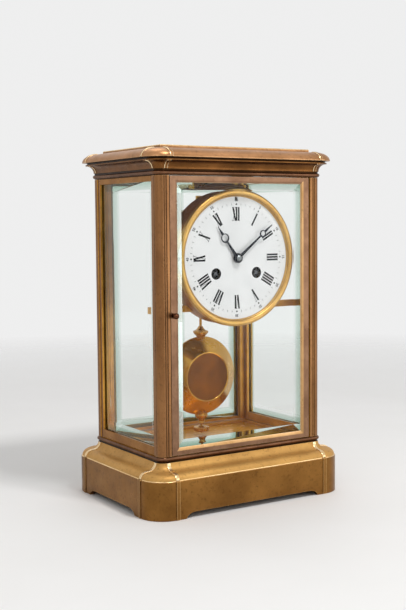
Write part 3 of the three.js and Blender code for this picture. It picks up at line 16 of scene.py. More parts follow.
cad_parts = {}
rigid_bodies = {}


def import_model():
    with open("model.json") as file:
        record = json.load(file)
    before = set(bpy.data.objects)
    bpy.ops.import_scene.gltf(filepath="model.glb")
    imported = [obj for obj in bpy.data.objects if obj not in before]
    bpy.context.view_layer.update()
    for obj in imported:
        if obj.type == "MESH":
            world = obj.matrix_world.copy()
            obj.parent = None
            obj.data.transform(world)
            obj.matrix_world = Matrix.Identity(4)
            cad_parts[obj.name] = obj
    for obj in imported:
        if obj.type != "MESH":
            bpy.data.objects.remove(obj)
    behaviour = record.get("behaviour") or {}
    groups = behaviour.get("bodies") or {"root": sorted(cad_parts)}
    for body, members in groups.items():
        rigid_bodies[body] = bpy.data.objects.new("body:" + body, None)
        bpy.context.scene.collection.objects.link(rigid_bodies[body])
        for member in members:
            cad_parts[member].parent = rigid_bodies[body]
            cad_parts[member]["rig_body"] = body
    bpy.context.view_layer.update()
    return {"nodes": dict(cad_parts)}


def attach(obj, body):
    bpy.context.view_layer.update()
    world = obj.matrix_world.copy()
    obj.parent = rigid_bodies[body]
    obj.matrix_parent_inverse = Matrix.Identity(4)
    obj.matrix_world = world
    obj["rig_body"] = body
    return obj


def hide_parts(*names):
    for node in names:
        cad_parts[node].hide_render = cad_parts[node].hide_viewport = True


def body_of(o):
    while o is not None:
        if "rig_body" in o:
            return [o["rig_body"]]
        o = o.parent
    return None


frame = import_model()

# %% [markdown]
# ## Shop tools
# A clockmaker works in millimetres, so every piece is shaped in millimetres in a bmesh and made metres at
# the end. `settle` does that last step for all of them: it welds the seams, turns the faces outwards,
# marks the edges that stay crisp, gives the piece its finishes and hangs it on the body that carries it.
# A weighted normal modifier keeps the flat faces flat beside their small bevels.

# %% Units and settling a piece
MM = 0.001
WELD = 0.002
CRISP = math.radians(32)


def carrier(node):
    """The body that a CAD node rides on."""
    return body_of(frame["nodes"][node])[0]


def settle(bm, name, finishes, *nodes):
    """Makes a piece of the clock from a bmesh in millimetres, in place of the CAD nodes named."""
    bmesh.ops.remove_doubles(bm, verts=bm.verts, dist=WELD)
    bmesh.ops.recalc_face_normals(bm, faces=bm.faces)
    bmesh.ops.scale(bm, vec=(MM, MM, MM), verts=bm.verts)
    for face in bm.faces:
        face.smooth = True
    for edge in bm.edges:
        edge.smooth = edge.calc_face_angle(0) < CRISP
    mesh = bpy.data.meshes.new(name)
    bm.to_mesh(mesh)
    bm.free()
    for finish in finishes:
        mesh.materials.append(finish)
    piece = bpy.data.objects.new(name, mesh)
    bpy.context.scene.collection.objects.link(piece)
    piece.modifiers.new("even shading", "WEIGHTED_NORMAL").keep_sharp = True
    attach(piece, carrier(nodes[0]))
    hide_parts(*nodes)


# %% [markdown]
# Round pieces come off a lathe: a profile of radius and height is spun about its axis. A full spin with
# `use_merge` joins its last step to its first, and `settle` welds the poles. Profiles are written with
# arcs, so that a bead or a hollow is drawn by its radius as a turner would set it out.

# %% The lathe
FINE = 96


def arc(across, up, radius, start, end, steps):
    """Points of an arc, both ends included, with its angles in degrees."""
    turns = [math.radians(start + (end - start) * i / steps) for i in range(steps + 1)]
    return [(across + radius * math.cos(turn), up + radius * math.sin(turn)) for turn in turns]


def chain(bm, places, closed=False):
    """A wire through the places given."""
    verts = [bm.verts.new(place) for place in places]
    edges = [bm.edges.new(pair) for pair in zip(verts, verts[1:])]
    if closed:
        edges.append(bm.edges.new((verts[-1], verts[0])))
    return verts + edges


def lathe(bm, profile, centre, axis="Y", steps=FINE, closed=False):
    """Turns a profile of (radius, height) about an axis through the centre. Height runs along it."""
    x, y, z = centre
    if axis == "Y":
        places = [(x + radius, y + height, z) for radius, height in profile]
        direction = (0, 1, 0)
    else:
        places = [(x + radius, y, z + height) for radius, height in profile]
        direction = (0, 0, 1)
    bmesh.ops.spin(
        bm, geom=chain(bm, places, closed), cent=centre, axis=direction,
        angle=2 * math.pi, steps=steps, use_merge=True,
    )


# %% [markdown]
# No real casting has knife-sharp edges. `hard_edges` finds the edges where two faces meet at more than an
# angle, and `soften` rolls a small bevel along them, as a file and a buff would. Bevel in bmesh has other
# defaults than the editor, so each of its settings is given.

# %% Softening edges
def hard_edges(bm, degrees=25):
    """The edges where two faces meet at more than an angle."""
    limit = math.radians(degrees)
    return [edge for edge in bm.edges if edge.calc_face_angle(0) > limit]


def soften(bm, edges, offset, segments=2, clamp=True):
    """Rolls a small bevel along the edges."""
    bmesh.ops.bevel(
        bm, geom=edges, offset=offset, offset_type="OFFSET", segments=segments, profile=0.5,
        affect="EDGES", clamp_overlap=clamp, material=-1,
    )


# %% [markdown]
# Some pieces are already the right shape in CAD. `copied` takes a node's mesh, merges its loose
# triangles, clears the lines across its flat faces and softens its edges. The CAD node itself is never
# touched. A door frame slopes towards its glass, and `paint_lit_slopes` marks the upward and left-hand
# slopes for a paler brass, a painted highlight where the light falls on them.

# %% Copying a CAD shape
COPY_WELD = 0.005
FLAT_ANGLE = math.radians(1)


def paint_lit_slopes(bm):
    """Marks a door frame's slopes that look up or left, for the paler brass of painted highlight."""
    bm.normal_update()
    for face in bm.faces:
        catches_light = face.normal.z > 0.1 or face.normal.x < -0.1
        face.material_index = int(catches_light and 0.9 < abs(face.normal.y) < 0.99)


def copied(node, offset, segments=2, sloped=False):
    """A CAD node's shape as a bmesh in millimetres, with its hard edges rounded."""
    bm = bmesh.new()
    bm.from_mesh(frame["nodes"][node].data)
    bmesh.ops.scale(bm, vec=(1 / MM, 1 / MM, 1 / MM), verts=bm.verts)
    bmesh.ops.remove_doubles(bm, verts=bm.verts, dist=COPY_WELD)
    bmesh.ops.dissolve_limit(bm, angle_limit=FLAT_ANGLE, verts=bm.verts, edges=bm.edges)
    edges = hard_edges(bm)
    if sloped:
        paint_lit_slopes(bm)
    soften(bm, edges, offset, segments, clamp=False)
    return bm


# %% [markdown]
# Holes and slots are cut with a boolean. Both shapes are put into the scene for a moment, cut, and taken
# out again, so the result is a plain mesh that the next step can shape further.

# %% Cutting one shape with another
SPARE_SLOTS = 4


def aside(bm):
    """A passing object made from a bmesh, with empty slots so that the faces keep their finishes."""
    bmesh.ops.remove_doubles(bm, verts=bm.verts, dist=WELD)
    bmesh.ops.recalc_face_normals(bm, faces=bm.faces)
    mesh = bpy.data.meshes.new("aside")
    bm.to_mesh(mesh)
    bm.free()
    for _ in range(SPARE_SLOTS):
        mesh.materials.append(None)
    thing = bpy.data.objects.new("aside", mesh)
    bpy.context.scene.collection.objects.link(thing)
    return thing


def cut(bm, tool):
    """The first shape with the second one cut out of it."""
    work = aside(bm)
    cutter = aside(tool)
    boolean = work.modifiers.new("cut", "BOOLEAN")
    boolean.object = cutter
    boolean.operation = "DIFFERENCE"
    boolean.solver = "EXACT"
    bpy.context.view_layer.update()
    mesh = bpy.data.meshes.new_from_object(work.evaluated_get(bpy.context.evaluated_depsgraph_get()))
    result = bmesh.new()
    result.from_mesh(mesh)
    bpy.data.meshes.remove(mesh)
    for thing in (work, cutter):
        old = thing.data
        bpy.data.objects.remove(thing)
        bpy.data.meshes.remove(old)
    return result


# %% [markdown]
# ## Finishes
# A finish is a small tree of nodes. Old brass is never one colour: it has slow clouds of brown patina,
# fine specks, darker colour in the hollows, which is dirt together with painted shade, and bright metal on
# the edges that a duster reaches. Two ambient occlusion nodes find the last two: one looks outwards for
# hollows, and one looks inwards, where it meets the other side of a sharp edge. All patterns read Object
# coordinates, which is why every piece keeps its object at the origin.

# %% Nodes for a finish
def paint_from(code):
    """A web colour as the linear colour that the shader wants."""
    levels = [int(code[i:i + 2], 16) / 255 for i in (1, 3, 5)]
    linear = [c / 12.92 if c <= 0.04045 else ((c + 0.055) / 1.055) ** 2.4 for c in levels]
    return (*linear, 1.0)


def add(tree, kind, inputs=None, **settings):
    """Adds a node. Inputs are sockets to link or plain values."""
    made = tree.nodes.new("ShaderNode" + kind)
    for key, value in settings.items():
        setattr(made, key, value)
    for key, value in (inputs or {}).items():
        if isinstance(value, bpy.types.NodeSocket):
            tree.links.new(value, made.inputs[key])
        else:
            made.inputs[key].default_value = value
    return made


def blend(tree, factor, below, above):
    """The colour above laid over the colour below."""
    mix = add(tree, "Mix", {0: factor, 6: below, 7: above}, data_type="RGBA")
    return mix.outputs[2]


def spread(tree, value, low, high, to_low=0.0, to_high=1.0):
    """A value stretched from one range to another, and held at its ends."""
    inputs = {"Value": value, "From Min": low, "From Max": high, "To Min": to_low, "To Max": to_high}
    return add(tree, "MapRange", inputs).outputs["Result"]


def clouds(tree, where, scale, detail=4.0, roughness=0.6):
    """Soft noise on the coordinates given."""
    inputs = {"Vector": where, "Scale": scale, "Detail": detail, "Roughness": roughness}
    return add(tree, "TexNoise", inputs).outputs["Fac"]


def new_finish(name):
    """An empty material with its shader, and the object's own coordinates."""
    material = bpy.data.materials.new(name)
    material.use_nodes = True
    tree = material.node_tree
    shader = tree.nodes["Principled BSDF"]
    where = add(tree, "TexCoord").outputs["Object"]
    return material, tree, shader, where


def occlusion(tree, reach, samples, inside):
    """How open a place is within a reach in millimetres, in front of the surface or inside the metal."""
    made = add(
        tree, "AmbientOcclusion", {"Distance": reach * MM},
        samples=samples, only_local=True, inside=inside,
    )
    return made.outputs["AO"]


def polish(tree, shader, pattern, rough):
    """Roughness that wanders with a pattern from one value to another."""
    tree.links.new(spread(tree, pattern, 0.3, 0.7, *rough), shader.inputs["Roughness"])


def relief(tree, shader, height, strength, deep):
    """Fine relief, with its depth in millimetres."""
    made = add(tree, "Bump", {"Height": height, "Strength": strength, "Distance": deep * MM})
    tree.links.new(made.outputs["Normal"], shader.inputs["Normal"])


# %% Brass
SPECKS = 420
GRAIN = 700
HOLLOW_REACH = 3.2
EDGE_WEAR = 0.75


def brass(name, tone, deep, wear_and_highlight, dirt_and_shade_tone, rough=(0.24, 0.42), stretch=(1, 1, 1), cloud=38,
          hollow_dirt_and_shade=0.8, reach=0.7, bump=0.12, metal=1.0, gloss=0.5):
    """Old or polished brass: clouds of patina, specks, dirt with painted shade in the hollows, bright edges.
    """
    material, tree, shader, where = new_finish(name)
    along = add(tree, "Mapping", {"Vector": where, "Scale": stretch}).outputs["Vector"]
    patina = spread(tree, clouds(tree, along, cloud, 6.0, 0.65), 0.36, 0.66)
    specks = spread(tree, clouds(tree, where, SPECKS, 3.0), 0.56, 0.72, 0.0, 0.4)
    # The outward occlusion darkens the hollows: dirt together with painted shade.
    dirt_and_shade_mask = spread(tree, occlusion(tree, HOLLOW_REACH, 6, False), 0.95, 0.35, 0.0, hollow_dirt_and_shade)
    bright = spread(tree, occlusion(tree, reach, 6, True), 0.72, 0.3, 0.0, EDGE_WEAR)
    colour = blend(tree, patina, paint_from(deep), paint_from(tone))
    colour = blend(tree, specks, colour, paint_from(dirt_and_shade_tone))
    colour = blend(tree, dirt_and_shade_mask, colour, paint_from(dirt_and_shade_tone))
    colour = blend(tree, bright, colour, paint_from(wear_and_highlight))
    tree.links.new(colour, shader.inputs["Base Color"])
    polish(tree, shader, clouds(tree, along, cloud * 3.1, 5.0), rough)
    relief(tree, shader, clouds(tree, along, GRAIN, 3.0), bump, 0.05)
    shader.inputs["Metallic"].default_value = metal
    shader.inputs["Specular IOR Level"].default_value = gloss
    return material


# The skirt's brass is darker and the wave moulding's paler: painted shade on upright faces, painted light on
# faces that look up.
SKIRT = brass("skirt brass", "#946834", "#765026", "#d9b176", "#38230e", rough=(0.26, 0.42), cloud=24)
OGEE = brass("lit ogee brass", "#cfa05a", "#b6894a", "#ecca8e", "#5a3c1c", rough=(0.46, 0.6), cloud=26,
             hollow_dirt_and_shade=0.2, metal=0.6, gloss=0.3)
# A pale brass for painted highlights on the skirt's ledge, the ribs and the slab's top edge.
HIGHLIGHT = brass("painted highlight brass", "#f0d3a2", "#dcb781", "#fff0cf", "#8d6234", rough=(0.2, 0.34), hollow_dirt_and_shade=0.2)
PILLAR = brass("pillar brass", "#976a40", "#7d5430", "#e3b98a", "#3c2415", rough=(0.24, 0.36),
               stretch=(1, 1, 0.3), cloud=60, metal=0.8)
# A brighter, more orange brass for faces inside the case: painted light for the glow of the lit brass there.
LIT_INNER = brass("lit inner brass", "#e9ac4c", "#c68a32", "#f3cb84", "#5a3a14", rough=(0.28, 0.42), metal=0.35,
              gloss=0.2)
GILT = brass("gilt", "#dcae64", "#c4924a", "#f8d898", "#5c3712", rough=(0.3, 0.4), hollow_dirt_and_shade=0.4, bump=0.05,
             metal=0.85)
WHEEL = brass("wheel brass", "#d3a75a", "#b98b41", "#f0cf8c", "#5b3c18", rough=(0.2, 0.34), reach=0.3,
              bump=0.05)
print("brasses:", SKIRT.name, OGEE.name, HIGHLIGHT.name, PILLAR.name, LIT_INNER.name, GILT.name, WHEEL.name)


# %% [markdown]
# Steel, blued steel, bell metal, enamel and glass are simpler trees of the same kind. The bob's middle is
# brushed round and round, and a turned piece keeps the fine rings of the lathe, so their pattern follows
# the distance from an axis: a wave texture in rings, moved to the piece's centre by a Mapping node.

# %% Steel
def steel(name, tone, deep, rough=(0.22, 0.4)):
    """Polished or blued steel: slight clouds in colour and in polish, and brighter edges."""
    material, tree, shader, where = new_finish(name)
    cloudy = spread(tree, clouds(tree, where, 90), 0.35, 0.65)
    colour = blend(tree, cloudy, paint_from(deep), paint_from(tone))
    bright = spread(tree, occlusion(tree, 0.3, 4, True), 0.7, 0.3, 0.0, 0.5)
    colour = blend(tree, bright, colour, paint_from("#c9cdd4"))
    tree.links.new(colour, shader.inputs["Base Color"])
    polish(tree, shader, clouds(tree, where, 300), rough)
    relief(tree, shader, clouds(tree, where, 1400, 2.0), 0.06, 0.03)
    shader.inputs["Metallic"].default_value = 1.0
    return material


STEEL = steel("polished steel", "#a9abad", "#85878a")
BLUED = steel("blued steel", "#1d2029", "#101218", rough=(0.18, 0.3))
print("steels:", STEEL.name, BLUED.name)

# %% Turned brass
RING_TONE = 0.22


def turned_brass(name, tone, deep, centre, axis, rings, rough=(0.26, 0.4), wear="#f3cf8d", bump=0.2,
                 metal=1.0):
    """Brass with the fine rings of the lathe about an axis through the centre."""
    material, tree, shader, where = new_finish(name)
    shift = [-place * MM for place in centre]
    place = add(tree, "Mapping", {"Vector": where, "Location": shift}).outputs["Vector"]
    wave = add(
        tree, "TexWave", {"Vector": place, "Scale": rings, "Distortion": 1.2, "Detail": 2.0},
        wave_type="RINGS", rings_direction=axis,
    ).outputs["Fac"]
    cloudy = spread(tree, clouds(tree, where, 40, 5.0), 0.36, 0.64)
    colour = blend(tree, cloudy, paint_from(deep), paint_from(tone))
    colour = blend(tree, spread(tree, wave, 0, 1, 0.0, RING_TONE), colour, paint_from(deep))
    bright = spread(tree, occlusion(tree, 0.5, 4, True), 0.7, 0.3, 0.0, 0.7)
    colour = blend(tree, bright, colour, paint_from(wear))
    tree.links.new(colour, shader.inputs["Base Color"])
    polish(tree, shader, clouds(tree, where, 120), rough)
    relief(tree, shader, wave, bump, 0.04)
    shader.inputs["Metallic"].default_value = metal
    return material


# %% [markdown]
# The enamel is white glass fused on copper, hardly uneven and glossy. Its white is a touch rosy, because
# the door's glass in front of it is a touch green. The numerals are painted on it in a duller black.

# %% Enamel and black paint
def enamel(name, tone, deep, rough=0.12, gloss=0.5):
    """Fired enamel: hardly visible clouds of colour, and a gloss that waves a little."""
    material, tree, shader, where = new_finish(name)
    cloudy = spread(tree, clouds(tree, where, 60), 0.35, 0.65)
    tree.links.new(blend(tree, cloudy, paint_from(deep), paint_from(tone)), shader.inputs["Base Color"])
    polish(tree, shader, clouds(tree, where, 150), (rough, rough + 0.08))
    relief(tree, shader, clouds(tree, where, 220, 2.0), 0.04, 0.05)
    shader.inputs["Specular IOR Level"].default_value = gloss
    return material


WHITE = enamel("white enamel", "#f1edf0", "#e9e5e8")
BLACK = enamel("black paint", "#0d0e11", "#15161a", rough=0.6, gloss=0.05)
FAINT = enamel("faint paint", "#1c1b1e", "#2e2c30", rough=0.6, gloss=0.05)
print("enamels:", WHITE.name, BLACK.name, FAINT.name)


# %% [markdown]
# The glass is clear with a trace of green, which deepens where it is ground, within `GROUND` of the
# pane's edge. Light has to pass through it to reach the brass inside, so rays that test for shadow, rays
# that come from a matt surface and rays that a surface reflects see a plain clear pane. Rays from the
# camera, and those that have gone through another pane, see real glass, which bends the picture at the
# bevels. The mirror image on a pane is dimmed by its specular tint, and faint smears make it uneven. The
# door's glass bends light more than the side ones, as the photograph shows.

# %% Glass
PANE_MIDDLE = 157.3
PANE_HALF_HIGH = 106.5
GROUND = 8.5
CLEAR = "#fbfdfc"
GREEN = "#b8cfc1"
MIRROR_TINT = (0.12, 0.12, 0.12, 1.0)
PASSING_TINT = (0.93, 0.95, 0.94, 1.0)


def from_edge(tree, along, middle, half):
    """How far a place is from the pane's edge along one axis, in metres."""
    offset = add(tree, "Math", {0: along, 1: middle * MM}, operation="SUBTRACT").outputs[0]
    size = add(tree, "Math", {0: offset}, operation="ABSOLUTE").outputs[0]
    return add(tree, "Math", {0: half * MM, 1: size}, operation="SUBTRACT").outputs[0]


def ground_green(tree, where, axis, half):
    """How green the pane is: not at all in its middle, and more towards its ground edge."""
    place = add(tree, "SeparateXYZ", {0: where}).outputs
    sides = from_edge(tree, place[axis], 0, half)
    ends = from_edge(tree, place["Z"], PANE_MIDDLE, PANE_HALF_HIGH)
    nearest = add(tree, "Math", {0: sides, 1: ends}, operation="MINIMUM").outputs[0]
    start = spread(tree, nearest, GROUND * MM, (GROUND - 0.6) * MM, 0.0, 0.45)
    deeper = spread(tree, nearest, GROUND * MM, 2 * MM, 0.0, 0.55)
    return add(tree, "Math", {0: start, 1: deeper}, operation="ADD").outputs[0]


def passing_rays(tree):
    """1 for the rays that see a plain pane, and 0 for those that see real glass."""
    rays = add(tree, "LightPath").outputs
    matt = {0: rays["Is Shadow Ray"], 1: rays["Is Diffuse Ray"]}
    mirrored = {0: rays["Is Glossy Ray"], 1: rays["Is Transmission Ray"]}
    matt = add(tree, "Math", matt, operation="MAXIMUM").outputs[0]
    mirrored = add(tree, "Math", mirrored, operation="SUBTRACT").outputs[0]
    return add(tree, "Math", {0: matt, 1: mirrored}, operation="MAXIMUM").outputs[0]


def pane_glass(name, axis, half, index):
    """Clear old glass that lets the lamps through, greener where it is ground."""
    material, tree, shader, where = new_finish(name)
    shader.inputs["Transmission Weight"].default_value = 1.0
    shader.inputs["IOR"].default_value = index
    shader.inputs["Specular Tint"].default_value = MIRROR_TINT
    smear = spread(tree, clouds(tree, where, 26, 5.0), 0.5, 0.8, 0.0, 0.03)
    tree.links.new(smear, shader.inputs["Roughness"])
    green = ground_green(tree, where, axis, half)
    colour = blend(tree, green, paint_from(CLEAR), paint_from(GREEN))
    tree.links.new(colour, shader.inputs["Base Color"])
    relief(tree, shader, clouds(tree, where, 30, 1.0), 0.02, 0.1)
    plain = add(tree, "BsdfTransparent", {"Color": PASSING_TINT}).outputs["BSDF"]
    both = add(tree, "MixShader", {0: passing_rays(tree), 1: shader.outputs["BSDF"], 2: plain})
    tree.links.new(both.outputs["Shader"], tree.nodes["Material Output"].inputs["Surface"])
    return material


DOOR_PANE = pane_glass("door glass", "X", 62.9, 1.62)
SIDE_PANE = pane_glass("side glass", "Y", 45.9, 1.42)
print("panes:", DOOR_PANE.name, SIDE_PANE.name)


# %% [markdown]
# ## The case
# A moulding is a profile carried round the case. The wire starts at the right-hand side, is extruded
# along each straight side and spun a quarter turn round each pillar's centre, so the corners come out
# round and the ends meet. This is how a plasterer runs a moulding, and it keeps the profile the same all
# the way round.

# %% Running a moulding round the case
HALF_WIDTH = 79.0
HALF_DEPTH = 55.0
CORNER = 5.4
TURN_STEPS = 12
OUT_X = HALF_WIDTH - CORNER
OUT_Y = HALF_DEPTH - CORNER


def parts_of(geom, kind):
    """The verts, edges or faces among the parts that an operator gives back."""
    return [part for part in geom if isinstance(part, kind)]


def run_round(bm, profile):
    """Carries a profile of (distance out from the pillars, height) round the case."""
    geom = chain(bm, [(HALF_WIDTH + out, -OUT_Y, up) for out, up in profile])
    straights = [(0, 2 * OUT_Y), (-2 * OUT_X, 0), (0, -2 * OUT_Y), (2 * OUT_X, 0)]
    centres = [(OUT_X, OUT_Y, 0), (-OUT_X, OUT_Y, 0), (-OUT_X, -OUT_Y, 0), (OUT_X, -OUT_Y, 0)]
    for (along_x, along_y), centre in zip(straights, centres):
        made = bmesh.ops.extrude_edge_only(bm, edges=parts_of(geom, bmesh.types.BMEdge))["geom"]
        verts = parts_of(made, bmesh.types.BMVert)
        fresh = set(verts)
        ends = [edge for edge in parts_of(made, bmesh.types.BMEdge) if set(edge.verts) <= fresh]
        bmesh.ops.translate(bm, vec=(along_x, along_y, 0), verts=verts)
        geom = bmesh.ops.spin(
            bm, geom=verts + ends, cent=centre, axis=(0, 0, 1), angle=math.pi / 2, steps=TURN_STEPS,
        )["geom_last"]
    bmesh.ops.remove_doubles(bm, verts=bm.verts, dist=WELD)


# %% [markdown]
# A moulding run round the case is open above and below. `lid` closes such an opening with one face, and
# `step` raises or sinks the middle of a face, which makes the deck, the hollow inside the base and the
# slab on top.

# %% Lids and steps
LEVEL = 0.01


def at_height(edge, height):
    """Whether an edge lies at a height."""
    return all(abs(vert.co.z - height) < LEVEL for vert in edge.verts)


def lid(bm, height):
    """Closes the open loop at a height, and gives back its face."""
    edges = [edge for edge in bm.edges if edge.is_boundary and at_height(edge, height)]
    return bmesh.ops.edgeloop_fill(bm, edges=edges)["faces"][0]


def step(bm, face, inward, rise):
    """Insets a level face and raises or sinks it. Gives back the face at its new height."""
    bmesh.ops.inset_region(bm, faces=[face], thickness=inward, use_even_offset=True)
    moved = bmesh.ops.extrude_discrete_faces(bm, faces=[face])["faces"][0]
    bmesh.ops.translate(bm, vec=(0, 0, rise), verts=list(moved.verts))
    return moved


# %% [markdown]
# Bars, plates, ribs, hands and the dial are flat outlines made thick. `slab` fills an outline round its
# holes and raises it, and `gather` puts shapes together before they are settled as one piece.

# %% Plates
def slab(bm, loops, rise):
    """A plate made thick along rise. The first loop is its outline and the others are its holes."""
    known = set(bm.faces)
    edges = []
    for loop in loops:
        edges += chain(bm, loop, closed=True)[len(loop):]
    filled = bmesh.ops.triangle_fill(bm, edges=edges, use_beauty=True)["geom"]
    faces = parts_of(filled, bmesh.types.BMFace)
    raised = bmesh.ops.extrude_face_region(bm, geom=faces)["geom"]
    bmesh.ops.translate(bm, vec=rise, verts=parts_of(raised, bmesh.types.BMVert))
    made = [face for face in bm.faces if face not in known]
    bmesh.ops.recalc_face_normals(bm, faces=made)
    bmesh.ops.dissolve_limit(
        bm, angle_limit=math.radians(0.5), verts=list({v for face in made for v in face.verts}),
        edges=list({e for face in made for e in face.edges}),
    )


def gather(bm, other):
    """Adds another bmesh to this one."""
    mesh = bpy.data.meshes.new("gather")
    other.to_mesh(mesh)
    other.free()
    bm.from_mesh(mesh)
    bpy.data.meshes.remove(mesh)


# %% [markdown]
# One casting can have several finishes. `paint_heights` gives them out by height, band over band, and
# `paint_lit_inside` gives the faces that look into the case a brighter, more orange brass: painted light
# for the glow of the lit brass inside the case.

# %% Finishes by place
LOOKS_IN = 0.3


def paint_heights(bm, finishes, bands):
    """Gives each face the finish of the first band whose top is over its middle."""
    for face in bm.faces:
        middle = face.calc_center_median().z
        finish = next(finish for top, finish in bands if middle < top)
        face.material_index = finishes.index(finish)


def paint_lit_inside(bm, finishes, inward):
    """Gives the faces that look into the case the brighter brass of painted light."""
    bm.normal_update()
    for face in bm.faces:
        if face.normal.dot(Vector(inward)) > LOOKS_IN:
            face.material_index = finishes.index(LIT_INNER)


# %% [markdown]
# The base is a skirt with arched feet, a thin ledge, a wave moulding of an ovolo and a hollow, and a half
# round that the pillars stand on. The top is closed and sunk to make the polished deck under the
# pendulum. The cornice under the slab has a half round, a hollow, a thin fillet, a dark quirk and a large
# ovolo. Each profile is a list of distances out from the pillars' faces, with heights.

# %% The mouldings' profiles
BASE_TOP = 46.6
CORNICE_BOTTOM = 266.4
SLAB_BOTTOM = 287.2
TORUS = 1.5


def quarter(start, end, upright, steps=10):
    """A quarter of an ellipse between two points of a profile, leaving the first upright or level."""
    (d0, z0), (d1, z1) = start, end
    turns = [math.pi / 2 * i / steps for i in range(steps + 1)]
    if upright:
        return [(d1 + (d0 - d1) * math.cos(t), z0 + (z1 - z0) * math.sin(t)) for t in turns]
    return [(d0 + (d1 - d0) * math.sin(t), z1 + (z0 - z1) * math.cos(t)) for t in turns]


def half_round(neck, bottom):
    """A half round standing out from a neck."""
    return arc(neck, bottom + TORUS, TORUS, -90, 90, 12)


SKIRT_LINE = [(14.8, 0.0), (15.1, 0.3), (15.1, 30.0), (14.9, 30.35), (14.5, 30.45), (14.35, 30.6)]
OGEE_LINE = quarter((14.2, 31.0), (7.6, 36.0), True) + quarter((7.6, 36.0), (0.4, 42.2), False)[1:]
BASE_LINE = (
    SKIRT_LINE + OGEE_LINE + [(-0.2, 42.25)] + half_round(-0.2, BASE_TOP - 2 * TORUS)
    + [(-CORNER, BASE_TOP)]
)
CAVETTO_LINE = quarter((0.8, 271.2), (7.0, 277.4), True)
OVOLO_LINE = quarter((10.4, 280.0), (-1.1, SLAB_BOTTOM), True, 16)
CORNICE_LINE = (
    [(-CORNER, CORNICE_BOTTOM), (0.1, CORNICE_BOTTOM), (0.1, 266.8)] + half_round(0.1, 266.8)[1:]
    + [(0.1, 271.1)] + CAVETTO_LINE
    + [(7.5, 277.45), (7.6, 277.6), (7.6, 278.3), (7.5, 278.4), (6.4, 278.4), (6.4, 280.0), (10.3, 280.0)]
    + OVOLO_LINE + [(-CORNER, SLAB_BOTTOM)]
)
print("profile points:", len(BASE_LINE), "in the base,", len(CORNICE_LINE), "in the cornice")

# %% [markdown]
# Eight flat ribs lie over the corners of each moulding. A rib's outline is the profile moved a little
# outwards, and back again inside the metal. It is made as wide as the rib, and its edges are rounded and
# given a pale brass as painted highlight. On the wave moulding the whole rib is painted so.

# %% Ribs over the corners
RIB_HALF = 1.6
RIB_PROUD = 0.62
RIB_SUNK = 1.0
RIB_EDGE = 0.5
RIB_WELD = 0.04
RIB_X = 72.0
RIB_Y = 48.0


def grown(line, out):
    """A profile moved outwards along its own normals."""
    result = []
    for i, (across, up) in enumerate(line):
        before = line[max(i - 1, 0)]
        after = line[min(i + 1, len(line) - 1)]
        along = Vector((after[0] - before[0], after[1] - before[1])).normalized()
        result.append((across + along.y * out, up - along.x * out))
    return result


def rib(section, side, place, across):
    """One rib: on the front or back where across is 0, and on a flank where it is 1."""
    bm = bmesh.new()
    if across == 0:
        loop = [(place * RIB_X - RIB_HALF, side * (HALF_DEPTH + out), up) for out, up in section]
        slab(bm, [loop], (2 * RIB_HALF, 0, 0))
    else:
        loop = [(side * (HALF_WIDTH + out), place * RIB_Y - RIB_HALF, up) for out, up in section]
        slab(bm, [loop], (0, 2 * RIB_HALF, 0))
    soften(bm, hard_edges(bm, 60), RIB_EDGE)
    bmesh.ops.remove_doubles(bm, verts=bm.verts, dist=RIB_WELD)
    bm.normal_update()
    # The rib's rounded edges are marked for the pale brass of painted highlight.
    for face in bm.faces:
        face.material_index = int(0.1 < abs(face.normal[across]) < 0.97)
    return bm


def ribs(line, finishes, plain, wear_and_highlight):
    """Eight flat ribs that follow a profile, with edges in the pale brass of painted highlight."""
    bm = bmesh.new()
    section = grown(line, RIB_PROUD) + grown(line, -RIB_SUNK)[::-1]
    for side in (-1, 1):
        for place in (-1, 1):
            for across in (0, 1):
                gather(bm, rib(section, side, place, across))
    for face in bm.faces:
        face.material_index = finishes.index(wear_and_highlight if face.material_index else plain)
    return bm


# %% [markdown]
# Under the skirt, each side has a low arch between its feet. Four short plates in the shape of the arches
# cut them out.

# %% The arches
ARCH_RISE = 4.8
ARCH_END = 9.0
FRONT_ARCH_HALF = 64.5
SIDE_ARCH_HALF = 39.0
FRONT_ARCH_Y = 63
SIDE_ARCH_X = 87
ARCH_DEEP = 10


def arch(half):
    """The hollow under the skirt as (along, height), with quarter ellipses at its ends."""
    turns = [math.pi / 2 * i / 10 for i in range(11)]
    right = [(half - ARCH_END * (1 - math.cos(t)), ARCH_RISE * math.sin(t)) for t in turns]
    left = [(-along, up) for along, up in reversed(right)]
    return [(-half, -1), (half, -1)] + right + left


def arch_plates():
    """The four plates that cut the arches."""
    bm = bmesh.new()
    for side in (-1, 1):
        front = [(along, side * FRONT_ARCH_Y, up) for along, up in arch(FRONT_ARCH_HALF)]
        slab(bm, [front], (0, side * ARCH_DEEP, 0))
        flank = [(side * SIDE_ARCH_X, along, up) for along, up in arch(SIDE_ARCH_HALF)]
        slab(bm, [flank], (side * ARCH_DEEP, 0, 0))
    return bm


# %% [markdown]
# The base itself is hollow: its underside is closed and stepped upwards twice. The sunk deck and the rim
# round it get a bright, smooth orange brass, painted light for the glow of the lit brass round them, and a
# face belongs to them if it is high enough and doesn't look outwards.

# %% The base
DECK_INSET = 11.5
DECK_SUNK = 2.0
DECK_LEVEL = 44.5
SKIRT_WALL = 2.9
SKIRT_ROOM = 28.0
WELL_INSET = 16.4
WELL_RISE = 13.6
# A bright orange brass for the deck: painted light for the glow of the lit brass inside the case.
LIT_DECK = brass("lit deck brass", "#efb04a", "#cf9032", "#f0c478", "#4a300e", rough=(0.16, 0.3), hollow_dirt_and_shade=0.2,
             metal=0.3, gloss=0.1)
